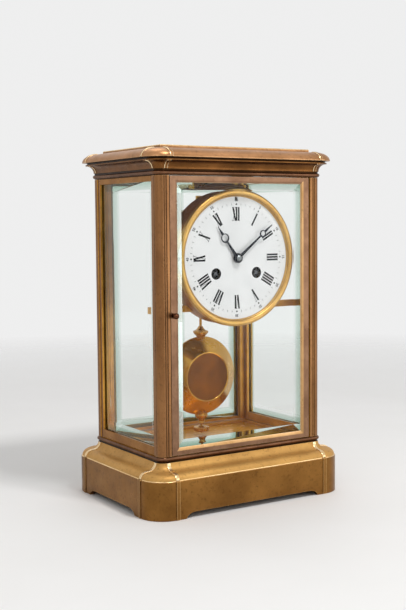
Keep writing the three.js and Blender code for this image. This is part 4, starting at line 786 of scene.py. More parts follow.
# A near-black brass for the narrow necks and quirks: painted shade.
QUIRK_SHADE = brass("quirk shade brass", "#3c2614", "#2a190c", "#8a6238", "#180d06")
ASTRAGAL = brass("small round brass", "#7d5840", "#5c3f2c", "#c79a72", "#2a1810")
BASE_FINISHES = [SKIRT, OGEE, ASTRAGAL, QUIRK_SHADE, LIT_DECK, HIGHLIGHT]


def paint_lit_deck(bm):
    """Gives the sunk deck, its walls and its rim their bright brass of painted light."""
    bmesh.ops.recalc_face_normals(bm, faces=bm.faces)
    for face in bm.faces:
        middle = face.calc_center_median()
        if middle.z > DECK_LEVEL and middle.xy.dot(face.normal.xy) < 0.01:
            face.material_index = BASE_FINISHES.index(LIT_DECK)


base = bmesh.new()
run_round(base, BASE_LINE)
step(base, lid(base, BASE_TOP), DECK_INSET - CORNER, -DECK_SUNK)
room = step(base, lid(base, 0.0), SKIRT_WALL, SKIRT_ROOM)
step(base, room, WELL_INSET, WELL_RISE)
base = cut(base, arch_plates())
# The darker skirt and paler wave moulding are painted shade and light; the ledge band is a painted
# highlight, the dark neck painted shade.
base_bands = [(30.3, SKIRT), (31.0, HIGHLIGHT), (42.2, OGEE), (43.59, QUIRK_SHADE), (50, ASTRAGAL)]
paint_heights(base, BASE_FINISHES, base_bands)
paint_lit_deck(base)
gather(base, ribs(SKIRT_LINE[1:], BASE_FINISHES, SKIRT, HIGHLIGHT))
gather(base, ribs(OGEE_LINE, BASE_FINISHES, HIGHLIGHT, HIGHLIGHT))
settle(base, "base_casting", BASE_FINISHES, "base")
print("base casting done")

# %% [markdown]
# The cornice is run in the same way, with the slab stepped out of its top face. Its underside is closed
# and stepped upwards, so the case has some height over the movement. The slab's long edges are rounded,
# and a band along the top edge gets the pale brass of painted highlight.

# %% The cornice
SLAB_INSET = 6.8
SLAB_THICK = 2.8
SLAB_TOP = 290.0
SLAB_EDGE = 0.7
CEILING_INSET = 11.5
CEILING_RISE = 17.6
CROWN = brass("crown brass", "#bb8a60", "#9d7048", "#efcb9a", "#4a2d16", rough=(0.3, 0.42), metal=0.9)
SLAB = brass("slab brass", "#9c6f42", "#8a6038", "#e3bf8a", "#4a2d16", rough=(0.5, 0.58), cloud=16,
             metal=0.6, gloss=0.1)
HOLLOW = brass("hollow brass", "#80542c", "#5e3c1e", "#b08250", "#26160a")
CORNICE_FINISHES = [CROWN, HOLLOW, ASTRAGAL, QUIRK_SHADE, HIGHLIGHT, SLAB]

cornice = bmesh.new()
run_round(cornice, CORNICE_LINE)
step(cornice, lid(cornice, SLAB_BOTTOM), SLAB_INSET - CORNER, SLAB_THICK)
step(cornice, lid(cornice, CORNICE_BOTTOM), CEILING_INSET - CORNER, CEILING_RISE)
slab_edges = [edge for edge in hard_edges(cornice) if at_height(edge, SLAB_TOP)]
soften(cornice, slab_edges, SLAB_EDGE, 3)
# The dark bands at the necks and quirks are painted shade, and the band along the slab's top edge is a
# painted highlight.
cornice_bands = [
    (266.9, QUIRK_SHADE), (269.7, ASTRAGAL), (271.25, QUIRK_SHADE), (278.4, HOLLOW), (280.0, QUIRK_SHADE), (289.3, CROWN),
    (289.97, HIGHLIGHT), (300, SLAB),
]
paint_heights(cornice, CORNICE_FINISHES, cornice_bands)
gather(cornice, ribs(CAVETTO_LINE, CORNICE_FINISHES, HOLLOW, HIGHLIGHT))
gather(cornice, ribs(OVOLO_LINE, CORNICE_FINISHES, CROWN, HIGHLIGHT))
settle(cornice, "cornice_casting", CORNICE_FINISHES, "cornice")
print("cornice done")

# %% [markdown]
# ## Pillars and rails
# Each pillar is a drawn bar with one section from end to end: a round outer corner, a groove, a bead
# beside it, a flat, a stop for the door and a slot for the side glass. The section is filled and raised,
# which is how a drawn bar is made too. The two pillars that the latches turn into have a slot cut in
# them.

# %% The pillars
PILLAR_BOTTOM = 46.9
PILLAR_TOP = 266.1
PILLAR_EDGE = 0.12
GROOVE = 0.6
SLOT_WIDE = (5.8, 14.6)
SLOT_DEEP = (4.8, 6.9)
SLOT_HIGH = (149.3, 165.7)
PILLARS = {"front_left": (-1, -1), "front_right": (1, -1), "back_left": (-1, 1), "back_right": (1, 1)}
PILLAR_FINISHES = [PILLAR, LIT_INNER]


def pillar_section():
    """The pillar's outline, in distances inwards from its outer corner."""
    corner = arc(CORNER, CORNER, CORNER, 180, 270, 12)
    bead = arc(6.7, GROOVE, 0.8, 180, 360, 10)[1:-1]
    return corner + [
        (5.5, GROOVE), (5.9, GROOVE), *bead, (7.5, GROOVE), (8.1, GROOVE), (8.2, 0.0), (10.4, 0.0),
        (10.4, 5.8), (13.6, 5.8), (13.6, 7.8), (8.7, 7.8), (8.7, 11.5), (6.5, 11.5), (6.5, 8.8), (2.7, 8.8),
        (2.7, 11.5), (0.9, 11.5), (0.9, 8.4), (0.0, 8.0), (0.0, 6.0), (GROOVE, 5.9), (GROOVE, 5.5),
    ]


def latch_slot(sx, sy):
    """The slot that a latch turns into, in the pillar with these signs."""
    xs = [sx * (HALF_WIDTH - inward) for inward in SLOT_WIDE]
    ys = [sy * (HALF_DEPTH - inward) for inward in SLOT_DEEP]
    size = [abs(b - a) for a, b in (xs, ys, SLOT_HIGH)]
    middle = [(a + b) / 2 for a, b in (xs, ys, SLOT_HIGH)]
    bm = bmesh.new()
    place = Matrix.Translation(middle) @ Matrix.Diagonal((*size, 1))
    bmesh.ops.create_cube(bm, size=1, matrix=place)
    return bm


for place, (sx, sy) in PILLARS.items():
    bm = bmesh.new()
    loop = [(sx * (HALF_WIDTH - u), sy * (HALF_DEPTH - v), PILLAR_BOTTOM) for u, v in pillar_section()]
    slab(bm, [loop], (0, 0, PILLAR_TOP - PILLAR_BOTTOM))
    soften(bm, hard_edges(bm, 50), PILLAR_EDGE)
    paint_lit_inside(bm, PILLAR_FINISHES, (-0.7 * sx, -0.7 * sy, 0))
    if sx == sy:
        bm = cut(bm, latch_slot(sx, sy))
    settle(bm, f"pillar_bar_{place}", PILLAR_FINISHES, f"pillar_{place}")
print("pillars:", len(PILLARS))

# %% [markdown]
# Rails, door frames, brackets and the small cast parts of the movement keep the shape that CAD gives
# them. Each is copied and its edges are softened by the width that a file and a buff leave: a quarter of
# a millimetre on the rails, and less on finer parts. The four panes stay as CAD nodes and only get their
# glass.

# %% Rails and brackets
RAIL_EDGE = 0.25
BRACKET_EDGE = 0.2
RAIL = brass("rail brass", "#a3723a", "#86592a", "#dca768", "#3a220d")
RAIL_FINISHES = [RAIL, LIT_INNER]
for side, inward in (("left", 1), ("right", -1)):
    for level in ("bottom", "top"):
        node = f"rail_{side}_{level}"
        bars = copied(node, RAIL_EDGE)
        paint_lit_inside(bars, RAIL_FINISHES, (inward, 0, 0))
        settle(bars, f"{node}_bar", RAIL_FINISHES, node)
    settle(copied(f"bracket_{side}", BRACKET_EDGE), f"bracket_{side}_arm", [LIT_INNER], f"bracket_{side}")
print("rails and brackets done")

# %% Doors and panes
DOOR_EDGE = 0.12
STILE = brass("stile brass", "#8e6c52", "#74543e", "#cfae8a", "#38231a", rough=(0.26, 0.38), cloud=50,
              metal=0.85)
# A paler brass for the door slopes that look up or left: painted highlight.
LIT_SLOPE = brass("lit slope brass", "#c29a6c", "#a88052", "#ecca9c", "#4a3018", rough=(0.26, 0.38))
DOOR_FINISHES = [STILE, LIT_SLOPE, LIT_INNER]
for door, inward in (("front", 1), ("back", -1)):
    bars = copied(f"{door}_door_frame", DOOR_EDGE, sloped=True)
    paint_lit_inside(bars, DOOR_FINISHES, (0, inward, 0))
    settle(bars, f"{door}_door_bars", DOOR_FINISHES, f"{door}_door_frame")
    settle(copied(f"{door}_door_latch", DOOR_EDGE), f"{door}_door_tongue", [STEEL], f"{door}_door_latch")
for node in ("front_door_glass", "back_door_glass"):
    frame["nodes"][node].material_slots[0].material = DOOR_PANE
for node in ("glass_left", "glass_right"):
    frame["nodes"][node].material_slots[0].material = SIDE_PANE
print("doors and panes done")

# %% [markdown]
# The door's knob is a small ball on a waisted neck with a collar against the frame. It is one turning,
# spun about Y.

# %% The knobs
KNOB_X = 66.1
KNOB_Z = 157.5


def knob_profile():
    """Half of the knob as (radius, distance in front of the middle of the clock)."""
    ball = arc(0, 59.5, 2.4, 90, -68, 16)
    neck = [(0.95, 56.9), (1.1, 56.5), (2.0, 56.3), (2.15, 55.9), (2.05, 55.3), (1.3, 55.1), (0.9, 55.0)]
    return ball + neck + [(0.9, 48.6), (0.0, 48.5)]


KNOB = brass("knob brass", "#744a32", "#523222", "#c79a72", "#24140c", rough=(0.12, 0.22))
for door, sign in (("front", -1), ("back", 1)):
    bm = bmesh.new()
    lathe(bm, [(radius, sign * out) for radius, out in knob_profile()], (sign * KNOB_X, 0, KNOB_Z), steps=48)
    settle(bm, f"{door}_knob_turning", [KNOB], f"{door}_door_knob")
print("knobs done")

# %% [markdown]
# ## The dial
# The bezel is a turned gilt ring: a thin sloping lip round the enamel, a fine line cut by the graver, and
# a full round. The movement's ring behind it carries the bezel in front and the plates inside. A small
# hole in it lets the regulating arbor through.

# %% Bezel and movement ring
DIAL_Z = 200.5
DIAL_CENTRE = (0, 0, DIAL_Z)
REGULATOR = (0, 248.8)
CROWN_TURNS = [math.pi * i / 18 for i in range(19)]

bm = bmesh.new()
crown = [(53.3 - 2.3 * math.cos(turn), -45.3 - 1.5 * math.sin(turn)) for turn in CROWN_TURNS]
bezel_line = (
    [(49.8, -44.1), (49.85, -44.4), (50.4, -45.2), (50.65, -45.4), (50.8, -45.3), (50.85, -45.15)]
    + [(51.0, -45.1)] + crown
    + [(55.6, -45.0), (55.6, -42.4), (55.5, -42.3), (52.8, -42.3), (52.8, -44.1)]
)
lathe(bm, bezel_line, DIAL_CENTRE, steps=192, closed=True)
settle(bm, "bezel_turning", [GILT], "bezel")

RING = turned_brass("ring brass", "#bb7632", "#8e5520", DIAL_CENTRE, "Y", rings=600, metal=0.6)
bm = bmesh.new()
ring_line = [
    (50.6, -42.0), (54.4, -42.0), (54.6, -41.8), (54.6, -24.2), (54.4, -24.0), (52.8, -24.0), (52.8, -32.3),
    (40.0, -32.3), (40.0, -33.5), (52.8, -33.5), (52.8, -41.0), (50.6, -41.0),
]
lathe(bm, ring_line, DIAL_CENTRE, steps=128, closed=True)
bore = bmesh.new()
lathe(bore, [(0, -34), (1.6, -34), (1.6, -32), (0, -32)], (REGULATOR[0], 0, REGULATOR[1]), steps=24)
settle(cut(bm, bore), "ring_turning", [RING], "movement_ring")
print("bezel and ring done")

# %% [markdown]
# The dial is a disc with a hole for the hands, two winding holes and a small one for regulating. Each
# hole's rim is rounded, as enamel draws back from an edge when it melts. The walls of the winding holes
# are painted black, as painted shade for the dark inside them.

# %% The dial plate
DIAL_FRONT = -43.8
DIAL_BACK = -42.3
DIAL_R = 52.5
DIAL_EDGE = 0.3
WINDING_X = 19.8
WINDING_Z = 188.1
WINDING_R = 4.6
WINDERS = [(WINDING_X, WINDING_Z), (-WINDING_X, WINDING_Z)]


def ring_of(centre, radius, y, steps=48):
    """A circle of places in the dial's plane."""
    x, z = centre
    turns = [2 * math.pi * i / steps for i in range(steps)]
    return [(x + radius * math.cos(t), y, z + radius * math.sin(t)) for t in turns]


dial_holes = [ring_of((0, DIAL_Z), 3.1, DIAL_BACK)]
dial_holes += [ring_of(winder, WINDING_R, DIAL_BACK) for winder in WINDERS]
dial_holes += [ring_of(REGULATOR, 1.4, DIAL_BACK, 24)]
bm = bmesh.new()
slab(bm, [ring_of((0, DIAL_Z), DIAL_R, DIAL_BACK, 160)] + dial_holes, (0, DIAL_FRONT - DIAL_BACK, 0))
soften(bm, hard_edges(bm, 60), DIAL_EDGE, 3)
# The walls of the winding holes are painted black: painted shade.
for face in bm.faces:
    middle = face.calc_center_median()
    out = math.hypot(abs(middle.x) - WINDING_X, middle.z - WINDING_Z)
    face.material_index = int(out < WINDING_R + 0.25 and middle.y > DIAL_FRONT + 0.1)
settle(bm, "dial_enamel", [WHITE, BLACK], "dial")
print("dial holes:", len(dial_holes))

# %% [markdown]
# The numerals stand with their feet to the centre. Each letter is a set of strokes, thick ones downwards
# and thin ones upwards, with a fine foot at each end, as a painter rules them. The strokes are thin
# plates of black enamel on the white. A small diamond stands over each numeral.

# %% The hour numerals
THICK = 1.45
THIN = 0.34
SERIF = 0.36
SERIF_HALF = 0.85
FOOT_R = 30.2
HEAD_R = 41.3
DIAMOND_R = 43.6
DIAMOND = 1.25
PAINT = 0.06
LETTERS = {
    "I": ([(0, 0, THICK)], [0], [0]),
    "V": ([(-1.15, 0.1, THICK), (1.3, 0.3, THIN)], [-1.15, 1.3], []),
    "X": ([(-1.2, 1.2, THICK), (1.3, -1.3, THIN)], [-1.2, 1.3], [1.2, -1.3]),
}
ADVANCE = {"I": 2.1, "V": 2.6, "X": 2.6}
HOURS = ["XII", "I", "II", "III", "IIII", "V", "VI", "VII", "VIII", "IX", "X", "XI"]


def on_dial(turn):
    """The dial's own place, turned clockwise by an angle in degrees."""
    return Matrix.Translation((0, DIAL_FRONT, DIAL_Z)) @ Matrix.Rotation(math.radians(turn), 4, "Y")


def stroke(bm, place, start, end, wide):
    """A painted stroke between two points of (across, out from the centre)."""
    (x0, r0), (x1, r1) = start, end
    lean = Matrix.Rotation(math.atan2(x1 - x0, r1 - r0), 4, "Y")
    middle = Matrix.Translation(((x0 + x1) / 2, 0, (r0 + r1) / 2))
    size = Matrix.Diagonal((wide, 2 * PAINT, math.hypot(x1 - x0, r1 - r0), 1))
    bmesh.ops.create_cube(bm, size=1, matrix=place @ middle @ lean @ size)


def numeral(bm, letters, turn):
    """Rules one numeral."""
    across = -sum(ADVANCE[letter] for letter in letters) / 2
    for letter in letters:
        middle = across + ADVANCE[letter] / 2
        across += ADVANCE[letter]
        strokes, heads, feet = LETTERS[letter]
        for top, bottom, wide in strokes:
            stroke(bm, on_dial(turn), (middle + top, HEAD_R), (middle + bottom, FOOT_R), wide)
        for ends, radius in ((heads, HEAD_R - SERIF / 2), (feet, FOOT_R + SERIF / 2)):
            for end in ends:
                start = (middle + end - SERIF_HALF, radius)
                stroke(bm, on_dial(turn), start, (middle + end + SERIF_HALF, radius), SERIF)


def diamond(bm, turn):
    """Paints the diamond over a numeral."""
    place = on_dial(turn) @ Matrix.Translation((0, 0, DIAMOND_R)) @ Matrix.Rotation(math.pi / 4, 4, "Y")
    bmesh.ops.create_cube(bm, size=1, matrix=place @ Matrix.Diagonal((DIAMOND, 2 * PAINT, DIAMOND, 1)))


bm = bmesh.new()
for hour, letters in enumerate(HOURS):
    numeral(bm, letters, 30 * hour)
for hour in range(12):
    diamond(bm, 30 * hour)
settle(bm, "hour_numerals", [BLACK], "dial")
print("numerals:", ", ".join(HOURS))

# %% [markdown]
# Outside the numerals runs the minute track: a short stroke for each minute, and a small figure at every
# fifth one. A figure is written as a text curve, made a mesh and then set in its place.

# %% The minute track and its figures
TICK_FROM = 42.9
TICK_TO = 44.4
TICK_WIDE = 0.3
FIGURE_R = 46.9
FIGURE_SIZE = 3.1
FIGURE_BOLD = 0.07


def figure(bm, text, place):
    """Writes a number as a thin plate of paint."""
    curve = bpy.data.curves.new("figure", "FONT")
    curve.body = text
    curve.size = FIGURE_SIZE
    curve.extrude = PAINT
    curve.offset = FIGURE_BOLD
    curve.align_x = "CENTER"
    curve.align_y = "CENTER"
    curve.resolution_u = 3
    thing = bpy.data.objects.new("figure", curve)
    bpy.context.scene.collection.objects.link(thing)
    bpy.context.view_layer.update()
    mesh = bpy.data.meshes.new_from_object(thing.evaluated_get(bpy.context.evaluated_depsgraph_get()))
    mesh.transform(place @ Matrix.Rotation(math.pi / 2, 4, "X"))
    bm.from_mesh(mesh)
    bpy.data.objects.remove(thing)
    bpy.data.curves.remove(curve)
    bpy.data.meshes.remove(mesh)


bm = bmesh.new()
for minute in range(60):
    if minute % 5:
        stroke(bm, on_dial(6 * minute), (0, TICK_FROM), (0, TICK_TO), TICK_WIDE)
for five in range(1, 13):
    figure(bm, str(5 * five), on_dial(30 * five) @ Matrix.Translation((0, 0, FIGURE_R)))
settle(bm, "minute_track", [FAINT], "dial")
print("minute track done")

# %% [markdown]
# ## Hands
# The hands are moon hands sawn from sheet steel and blued. One outline goes round the hub, up the bar,
# round the ring and out to the point, and two holes are left in it. The plate is made thick and its edges
# are rounded, then it is turned to the time the photograph shows.

# %% The hands
HUB_R = 4.0
TIP_HALF = 0.12
SHOULDER_HALF = 1.15
NECK_HALF = 0.7
FOOT_HALF = 1.3
RING_WALL = 0.95
RING_SHIFT = 0.35
SHEET = 0.5
SHEET_EDGE = 0.09


def half_hand(length, moon, ring):
    """The right half of a hand, from its point down to the foot of its hub."""
    shoulder = math.degrees(math.asin(SHOULDER_HALF / ring))
    neck = math.degrees(math.asin(NECK_HALF / ring))
    foot = math.degrees(math.asin(FOOT_HALF / HUB_R))
    round_moon = arc(0, moon, ring, 90 - shoulder, -90 + neck, 20)
    round_hub = arc(0, 0, HUB_R, 90 - foot, -90, 24)
    return [(TIP_HALF, length)] + round_moon + round_hub


def make_hand(node, length, moon, ring, seat, front, turn):
    """Saws a hand from sheet and sets it to its hour."""
    right = half_hand(length, moon, ring)
    left = [(-across, out) for across, out in reversed(right[:-1])]
    loops = [
        right + left,
        [(x, z) for x, _, z in ring_of((0, moon + RING_SHIFT), ring - RING_WALL, 0, 40)],
        [(x, z) for x, _, z in ring_of((0, 0), seat, 0, 40)],
    ]
    bm = bmesh.new()
    slab(bm, [[(x, front + SHEET, z) for x, z in loop] for loop in loops], (0, -SHEET, 0))
    soften(bm, hard_edges(bm, 50), SHEET_EDGE)
    turned = Matrix.Translation(DIAL_CENTRE) @ Matrix.Rotation(math.radians(turn), 4, "Y")
    bmesh.ops.transform(bm, matrix=turned, verts=bm.verts)
    settle(bm, f"{node}_sheet", [BLUED], node)


make_hand("minute_hand", 43.3, 31.0, 3.0, 1.8, -47.0, 51.3)
make_hand("hour_hand", 31.5, 20.2, 3.8, 2.9, -45.6, -36.4)
bm = bmesh.new()
nut_line = [
    (0, -47.5), (2.2, -47.5), (2.4, -47.7), (2.4, -47.95), (2.25, -48.1), (1.6, -48.5), (1.4, -48.6),
    (0, -48.6),
]
lathe(bm, nut_line, DIAL_CENTRE, steps=48)
settle(bm, "hand_nut_turning", [STEEL], "hand_nut")
print("hands done")

# %% [markdown]
# ## The pendulum
# The bob is turned from one piece of brass: a flat middle that is brushed round and round, and a broad
# polished cone that falls away to a thin rim, the same in front and behind. It is spun about Y. The
# ferrules over and under it, the rod and the rating nut are turnings about Z.

# %% The bob
PENDULUM_Y = 12.0
BOB_Z = 97.5
BOB_R = 34.0
BRUSHED_R = 20.1
BOB_CENTRE = (0, PENDULUM_Y, BOB_Z)
BRONZE = turned_brass("brushed bronze", "#8e5012", "#6a3a0a", BOB_CENTRE, "Y", rings=1500,
                      rough=(0.3, 0.45), metal=0.7)
BOB_GOLD = turned_brass("bob brass", "#eab556", "#ce973c", BOB_CENTRE, "Y", rings=700,
                        rough=(0.16, 0.3), bump=0.06, metal=0.8)


def bob_half(sign):
    """Half of the bob's profile, from its middle to its rim."""
    flat = [(0, 11.1), (19.9, 11.1), (20.2, 11.0), (20.4, 11.15), (20.8, 11.45), (21.2, 11.4)]
    cone = [(21.2 + 12.5 * i / 6, 11.4 - 10.5 * i / 6) for i in range(1, 7)]
    return [(radius, sign * out) for radius, out in flat + cone + [(33.95, 0.6)]]


bm = bmesh.new()
rim = [(BOB_R, -0.3), (BOB_R, 0.3)]
lathe(bm, bob_half(-1) + rim + bob_half(1)[::-1], BOB_CENTRE, steps=160)
for face in bm.faces:
    middle = face.calc_center_median()
    face.material_index = int(math.hypot(middle.x, middle.z - BOB_Z) >= BRUSHED_R)
settle(bm, "bob_turning", [BRONZE, BOB_GOLD], "bob")
print("bob done")

# %% Ferrules, rod and rating nut
PENDULUM_BRASS = turned_brass("pendulum brass", "#dba452", "#b58038", BOB_CENTRE, "Z", rings=500,
                              rough=(0.2, 0.34), metal=0.75)


def upright_turning(line, name, node, finish, steps=64):
    """A turning about the pendulum's rod, with heights measured from the bob's middle."""
    bm = bmesh.new()
    lathe(bm, line, BOB_CENTRE, axis="Z", steps=steps)
    settle(bm, name, [finish], node)


upright_turning(
    [(0, 31.0), (2.2, 31.0), (2.4, 31.6), (3.2, 33.5), (4.6, 35.2), (5.6, 36.2), (6.2, 37.0), (6.5, 37.8),
     (6.5, 38.6), (6.3, 38.9), (5.6, 39.1), (4.5, 39.5), (3.4, 40.3), (2.7, 41.2), (2.2, 42.0), (1.9, 42.8),
     (0, 42.8)],
    "top_ferrule_turning", "top_ferrule", PENDULUM_BRASS,
)
upright_turning(
    [(0, -42.2), (2.6, -42.2), (3.1, -41.9), (3.2, -41.2), (2.8, -40.4), (2.45, -39.6), (2.6, -38.8),
     (3.6, -37.4), (4.8, -36.2), (5.5, -35.3), (5.7, -34.6), (5.4, -33.6), (4.4, -32.6), (3.2, -31.4),
     (2.4, -30.4), (0, -30.4)],
    "lower_ferrule_turning", "lower_ferrule", PENDULUM_BRASS,
)
upright_turning(
    [(0, -48.5), (5.3, -48.5), (5.8, -48.4), (6.6, -47.8), (6.8, -47.3), (6.8, -45.3), (6.6, -44.9),
     (5.6, -44.5), (4.0, -44.2), (2.6, -43.9), (2.4, -43.5), (0, -43.5)],
    "rating_nut_turning", "rating_nut", PENDULUM_BRASS,
)
upright_turning(
    [(0, -49.9), (0.8, -49.9), (1.1, -49.6), (1.1, 119.3), (0.8, 119.6), (0, 119.6)],
    "rod_turning", "pendulum_rod", LIT_INNER, steps=32,
)
settle(copied("suspension_spring", 0.05, 1), "suspension_spring_strip", [STEEL], "suspension_spring")
print("pendulum done")

# %% [markdown]
# ## The movement
# The wheels keep the tooth shapes that CAD cut, because those mesh. The plates, the bell and the barrels
# are turned afresh, because their rounds are what the eye follows through the side glasses.

# %% The bell
BELL_CENTRE = (0, 0, 205.0)
BELL = turned_brass("bell metal", "#cdbb8c", "#ab9766", BELL_CENTRE, "Y", rings=350, rough=(0.2, 0.32),
                    wear="#efe3bd", bump=0.08)
bm = bmesh.new()
outside = [(36.0, 18.0)] + arc(27.0, 27.0, 9.0, 0, 90, 14)
inside = arc(26.6, 26.6, 8.0, 90, 0, 12) + [(34.6, 18.0)]
lathe(bm, [(1.9, 36.0), (1.9, 34.6)] + inside + outside, BELL_CENTRE, closed=True)
settle(bm, "bell_cup", [BELL], "bell")
print("bell done")

# %% [markdown]
# The two plates are round, with a hole for each arbor. The centres are those of the CAD wheels, and the
# radii leave the arbors a little play. Four turned posts join the plates, and they belong to the front
# one.

# %% The movement's plates
PLATE_R = 44.0
PLATE_EDGE = 0.2
PIVOT_R = 0.85
PIVOTS = [
    (15.600, 208.431), (-11.015, 207.882), (0, 214.0), (0, 226.0208), (0.325, 183.003), (6.096, 167.146),
    (-2.784, 163.914), (17.2, 163.4),
]
MINUTE_WHEEL = (-7.071, 207.571)
CLICKS = [(29.4, 196.5), (-29.4, 196.5)]
POSTS = [(29, 225.5), (-29, 225.5), (22, 166.5), (-22, 166.5)]
PLATE = brass("plate brass", "#cf9f55", "#b3823c", "#f0cc8a", "#5b3c18", rough=(0.18, 0.3), bump=0.05)


def make_plate(front, back, holes):
    """A round movement plate with its holes."""
    bm = bmesh.new()
    loops = [ring_of((0, DIAL_Z), PLATE_R, back, 128)]
    loops += [ring_of(place, radius, back, 20) for place, radius in holes]
    slab(bm, loops, (0, front - back, 0))
    soften(bm, hard_edges(bm, 60), PLATE_EDGE)
    return bm


front_holes = [(place, PIVOT_R) for place in PIVOTS] + [((0, DIAL_Z), 1.0), (MINUTE_WHEEL, 1.1)]
front_holes += [(place, 2.3) for place in WINDERS] + [(place, 1.3) for place in CLICKS]
bm = make_plate(-32.0, -29.6, front_holes)
post_line = [
    (0, -29.7), (3.0, -29.7), (3.0, -28.4), (2.2, -28.0), (1.9, -24), (1.9, -5), (2.2, -1.6), (2.2, 0.1),
    (0, 0.1),
]
for x, z in POSTS:
    lathe(bm, post_line, (x, 0, z), steps=32)
settle(bm, "front_plate_turning", [PLATE], "front_plate")

back_holes = [(place, PIVOT_R) for place in PIVOTS + [(0, DIAL_Z)]]
back_holes += [(place, 1.5) for place in WINDERS]
settle(make_plate(0.4, 2.8, back_holes), "back_plate_turning", [PLATE], "back_plate")
print("plates done, with", len(front_holes), "and", len(back_holes), "holes")

# %% [markdown]
# The barrels get a round drum over the CAD's many-sided one, with a thin line where the cap is pressed
# in.

# %% The barrels
DRUM_LINE = [
    (2.5, -25.0), (15.3, -25.0), (15.56, -24.8), (15.56, -12.6), (15.35, -12.5), (15.35, -12.3),
    (15.56, -12.2), (15.56, -11.1), (15.4, -11.0), (2.5, -11.0),
]
for side, (x, z) in zip(("going", "strike"), WINDERS):
    bm = copied(f"{side}_barrel", 0.06, 1)
    lathe(bm, DRUM_LINE, (x, 0, z), steps=64, closed=True)
    settle(bm, f"{side}_barrel_drum", [WHEEL], f"{side}_barrel")
print("barrels done")

# %% [markdown]
# All the other wheels, arbors and levers are copied with their edges softened. The winding squares get a
# darker steel, as painted shade for the shadow of their holes.

# %% Wheels, arbors and levers
BRASS_PARTS = [
    "hour_wheel", "minute_wheel", "second_wheel", "centre_wheel", "third_wheel", "escape_wheel",
    "strike_second_wheel", "count_wheel", "pin_wheel", "fly", "suspension_cock",
]
STEEL_PARTS = [
    "going_click", "strike_click", "cannon_pinion", "pallets", "crutch", "hammer", "bell_stand",
    "regulating_arbor",
]
WINDING_PARTS = ["going_arbor", "strike_arbor"]
# A darker steel for the winding squares: painted shade.
SHADED_STEEL = steel("painted shade steel", "#58585c", "#3a3a3e", rough=(0.3, 0.45))
for nodes, finish, edge in (
    (BRASS_PARTS, WHEEL, 0.06), (STEEL_PARTS, STEEL, 0.08), (WINDING_PARTS, SHADED_STEEL, 0.08),
):
    for node in nodes:
        settle(copied(node, edge, 1), f"{node}_piece", [finish], node)
    print(finish.name + ":", len(nodes), "parts")

# %% [markdown]
# ## Floor, light and camera
# The clock stands on a plain pale floor under soft lamps. The world is pale where the camera, a mirror or
# a pane looks at it, and dimmer as a light. The floor fades into it far from the clock.

# %% The floor
FLOOR_HALF = 4.0
FADE_FROM = 0.5
FADE_TO = 1.3


def floor_finish():
    """Pale paper with a hardly visible unevenness, which fades into the pale air far from the clock."""
    material, tree, shader, where = new_finish("pale floor")
    tone = spread(tree, clouds(tree, where, 3), 0.3, 0.7)
    colour = blend(tree, tone, paint_from("#efeeec"), paint_from("#f4f3f2"))
    tree.links.new(colour, shader.inputs["Base Color"])
    shader.inputs["Roughness"].default_value = 0.7
    away = add(tree, "VectorMath", {0: where}, operation="LENGTH").outputs["Value"]
    faded = spread(tree, away, FADE_FROM, FADE_TO)
    clear = add(tree, "BsdfTransparent").outputs[0]
    fade = add(tree, "MixShader", {0: faded, 1: shader.outputs[0], 2: clear})
    tree.links.new(fade.outputs["Shader"], tree.nodes["Material Output"].inputs["Surface"])
    return material


bm = bmesh.new()
bmesh.ops.create_grid(bm, x_segments=8, y_segments=8, size=FLOOR_HALF)
mesh = bpy.data.meshes.new("floor")
bm.to_mesh(mesh)
bm.free()
mesh.materials.append(floor_finish())
floor = bpy.data.objects.new("floor", mesh)
bpy.context.scene.collection.objects.link(floor)
print("floor:", 2 * FLOOR_HALF, "m wide")

# %% The world
WORLD_LIGHT = 0.42
WORLD_SEEN = 0.86
world = bpy.data.worlds.new("studio")
bpy.context.scene.world = world
world.use_nodes = True
tree = world.node_tree
rays = add(tree, "LightPath").outputs
seen = {0: rays["Is Camera Ray"], 1: rays["Is Transmission Ray"]}
seen = add(tree, "Math", seen, operation="MAXIMUM").outputs[0]
seen = add(tree, "Math", {0: seen, 1: rays["Is Glossy Ray"]}, operation="MAXIMUM").outputs[0]
level = spread(tree, seen, 0, 1, WORLD_LIGHT, WORLD_SEEN)
tree.links.new(level, tree.nodes["Background"].inputs["Strength"])
tree.nodes["Background"].inputs["Color"].default_value = (1, 1, 1, 1)
print("world:", WORLD_LIGHT, "as a light")

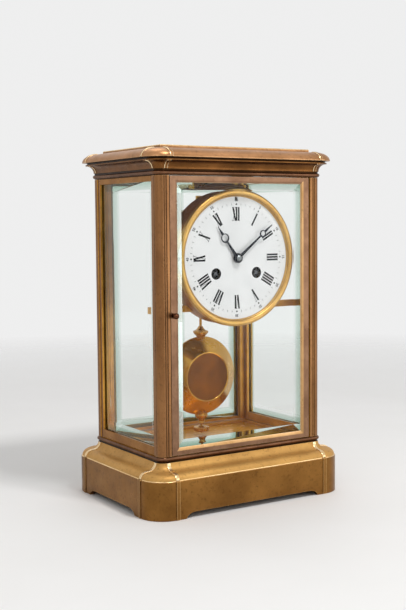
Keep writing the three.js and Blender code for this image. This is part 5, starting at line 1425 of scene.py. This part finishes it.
# %% [markdown]
# The key lamp is small and near, over the front, as the lamp in the photograph is. Three large soft ones
# fill the sides and the back. Each is a square lamp that looks at the middle of the clock.

# %% Lamps
MIDDLE = Vector((0, 0, 0.15))


def lamp(name, place, size, power):
    """A square soft lamp that looks at the clock."""
    light = bpy.data.lights.new(name, "AREA")
    light.shape = "SQUARE"
    light.size = size
    light.energy = power
    thing = bpy.data.objects.new(name, light)
    look = (MIDDLE - Vector(place)).to_track_quat("-Z", "Y").to_matrix().to_4x4()
    thing.matrix_world = Matrix.Translation(place) @ look
    bpy.context.scene.collection.objects.link(thing)


lamp("key over the front", (0.1, -0.68, 1.22), 0.2, 8)
lamp("soft light from the left", (-1.1, -0.9, 0.8), 0.8, 2.2)
lamp("low light from the right", (0.95, -1.25, 0.3), 1.0, 4.5)
lamp("over the back", (0.1, 0.5, 1.5), 0.8, 4)
print("lamps:", len(bpy.data.lights))

# %% [markdown]
# The camera is where the photographer stood: left of the middle, a little over the foot. Its place and
# its three angles were fitted to the photograph. It looks along -Z of its own, so its matrix has the
# sideways, upward and backward directions as its columns.

# %% Camera
CAMERA_PLACE = (-0.488379, -0.764736, 0.231234)
YAW, PITCH, ROLL = (math.radians(angle) for angle in (32.360, -4.533, -0.456))
LENS = 62.98
SENSOR = 36
forward = Vector((math.sin(YAW) * math.cos(PITCH), math.cos(YAW) * math.cos(PITCH), math.sin(PITCH)))
right = Vector((math.cos(YAW), -math.sin(YAW), 0))
up = right.cross(forward)
side = right * math.cos(ROLL) + up * math.sin(ROLL)
top = up * math.cos(ROLL) - right * math.sin(ROLL)
camera_data = bpy.data.cameras.new("camera")
camera_data.lens = LENS
camera_data.sensor_width = SENSOR
camera = bpy.data.objects.new("camera", camera_data)
turn = Matrix((side, top, -forward)).transposed().to_4x4()
camera.matrix_world = Matrix.Translation(CAMERA_PLACE) @ turn
bpy.context.scene.collection.objects.link(camera)
bpy.context.scene.camera = camera
bpy.context.scene.view_settings.view_transform = "Standard"
print("camera at", tuple(camera.location))
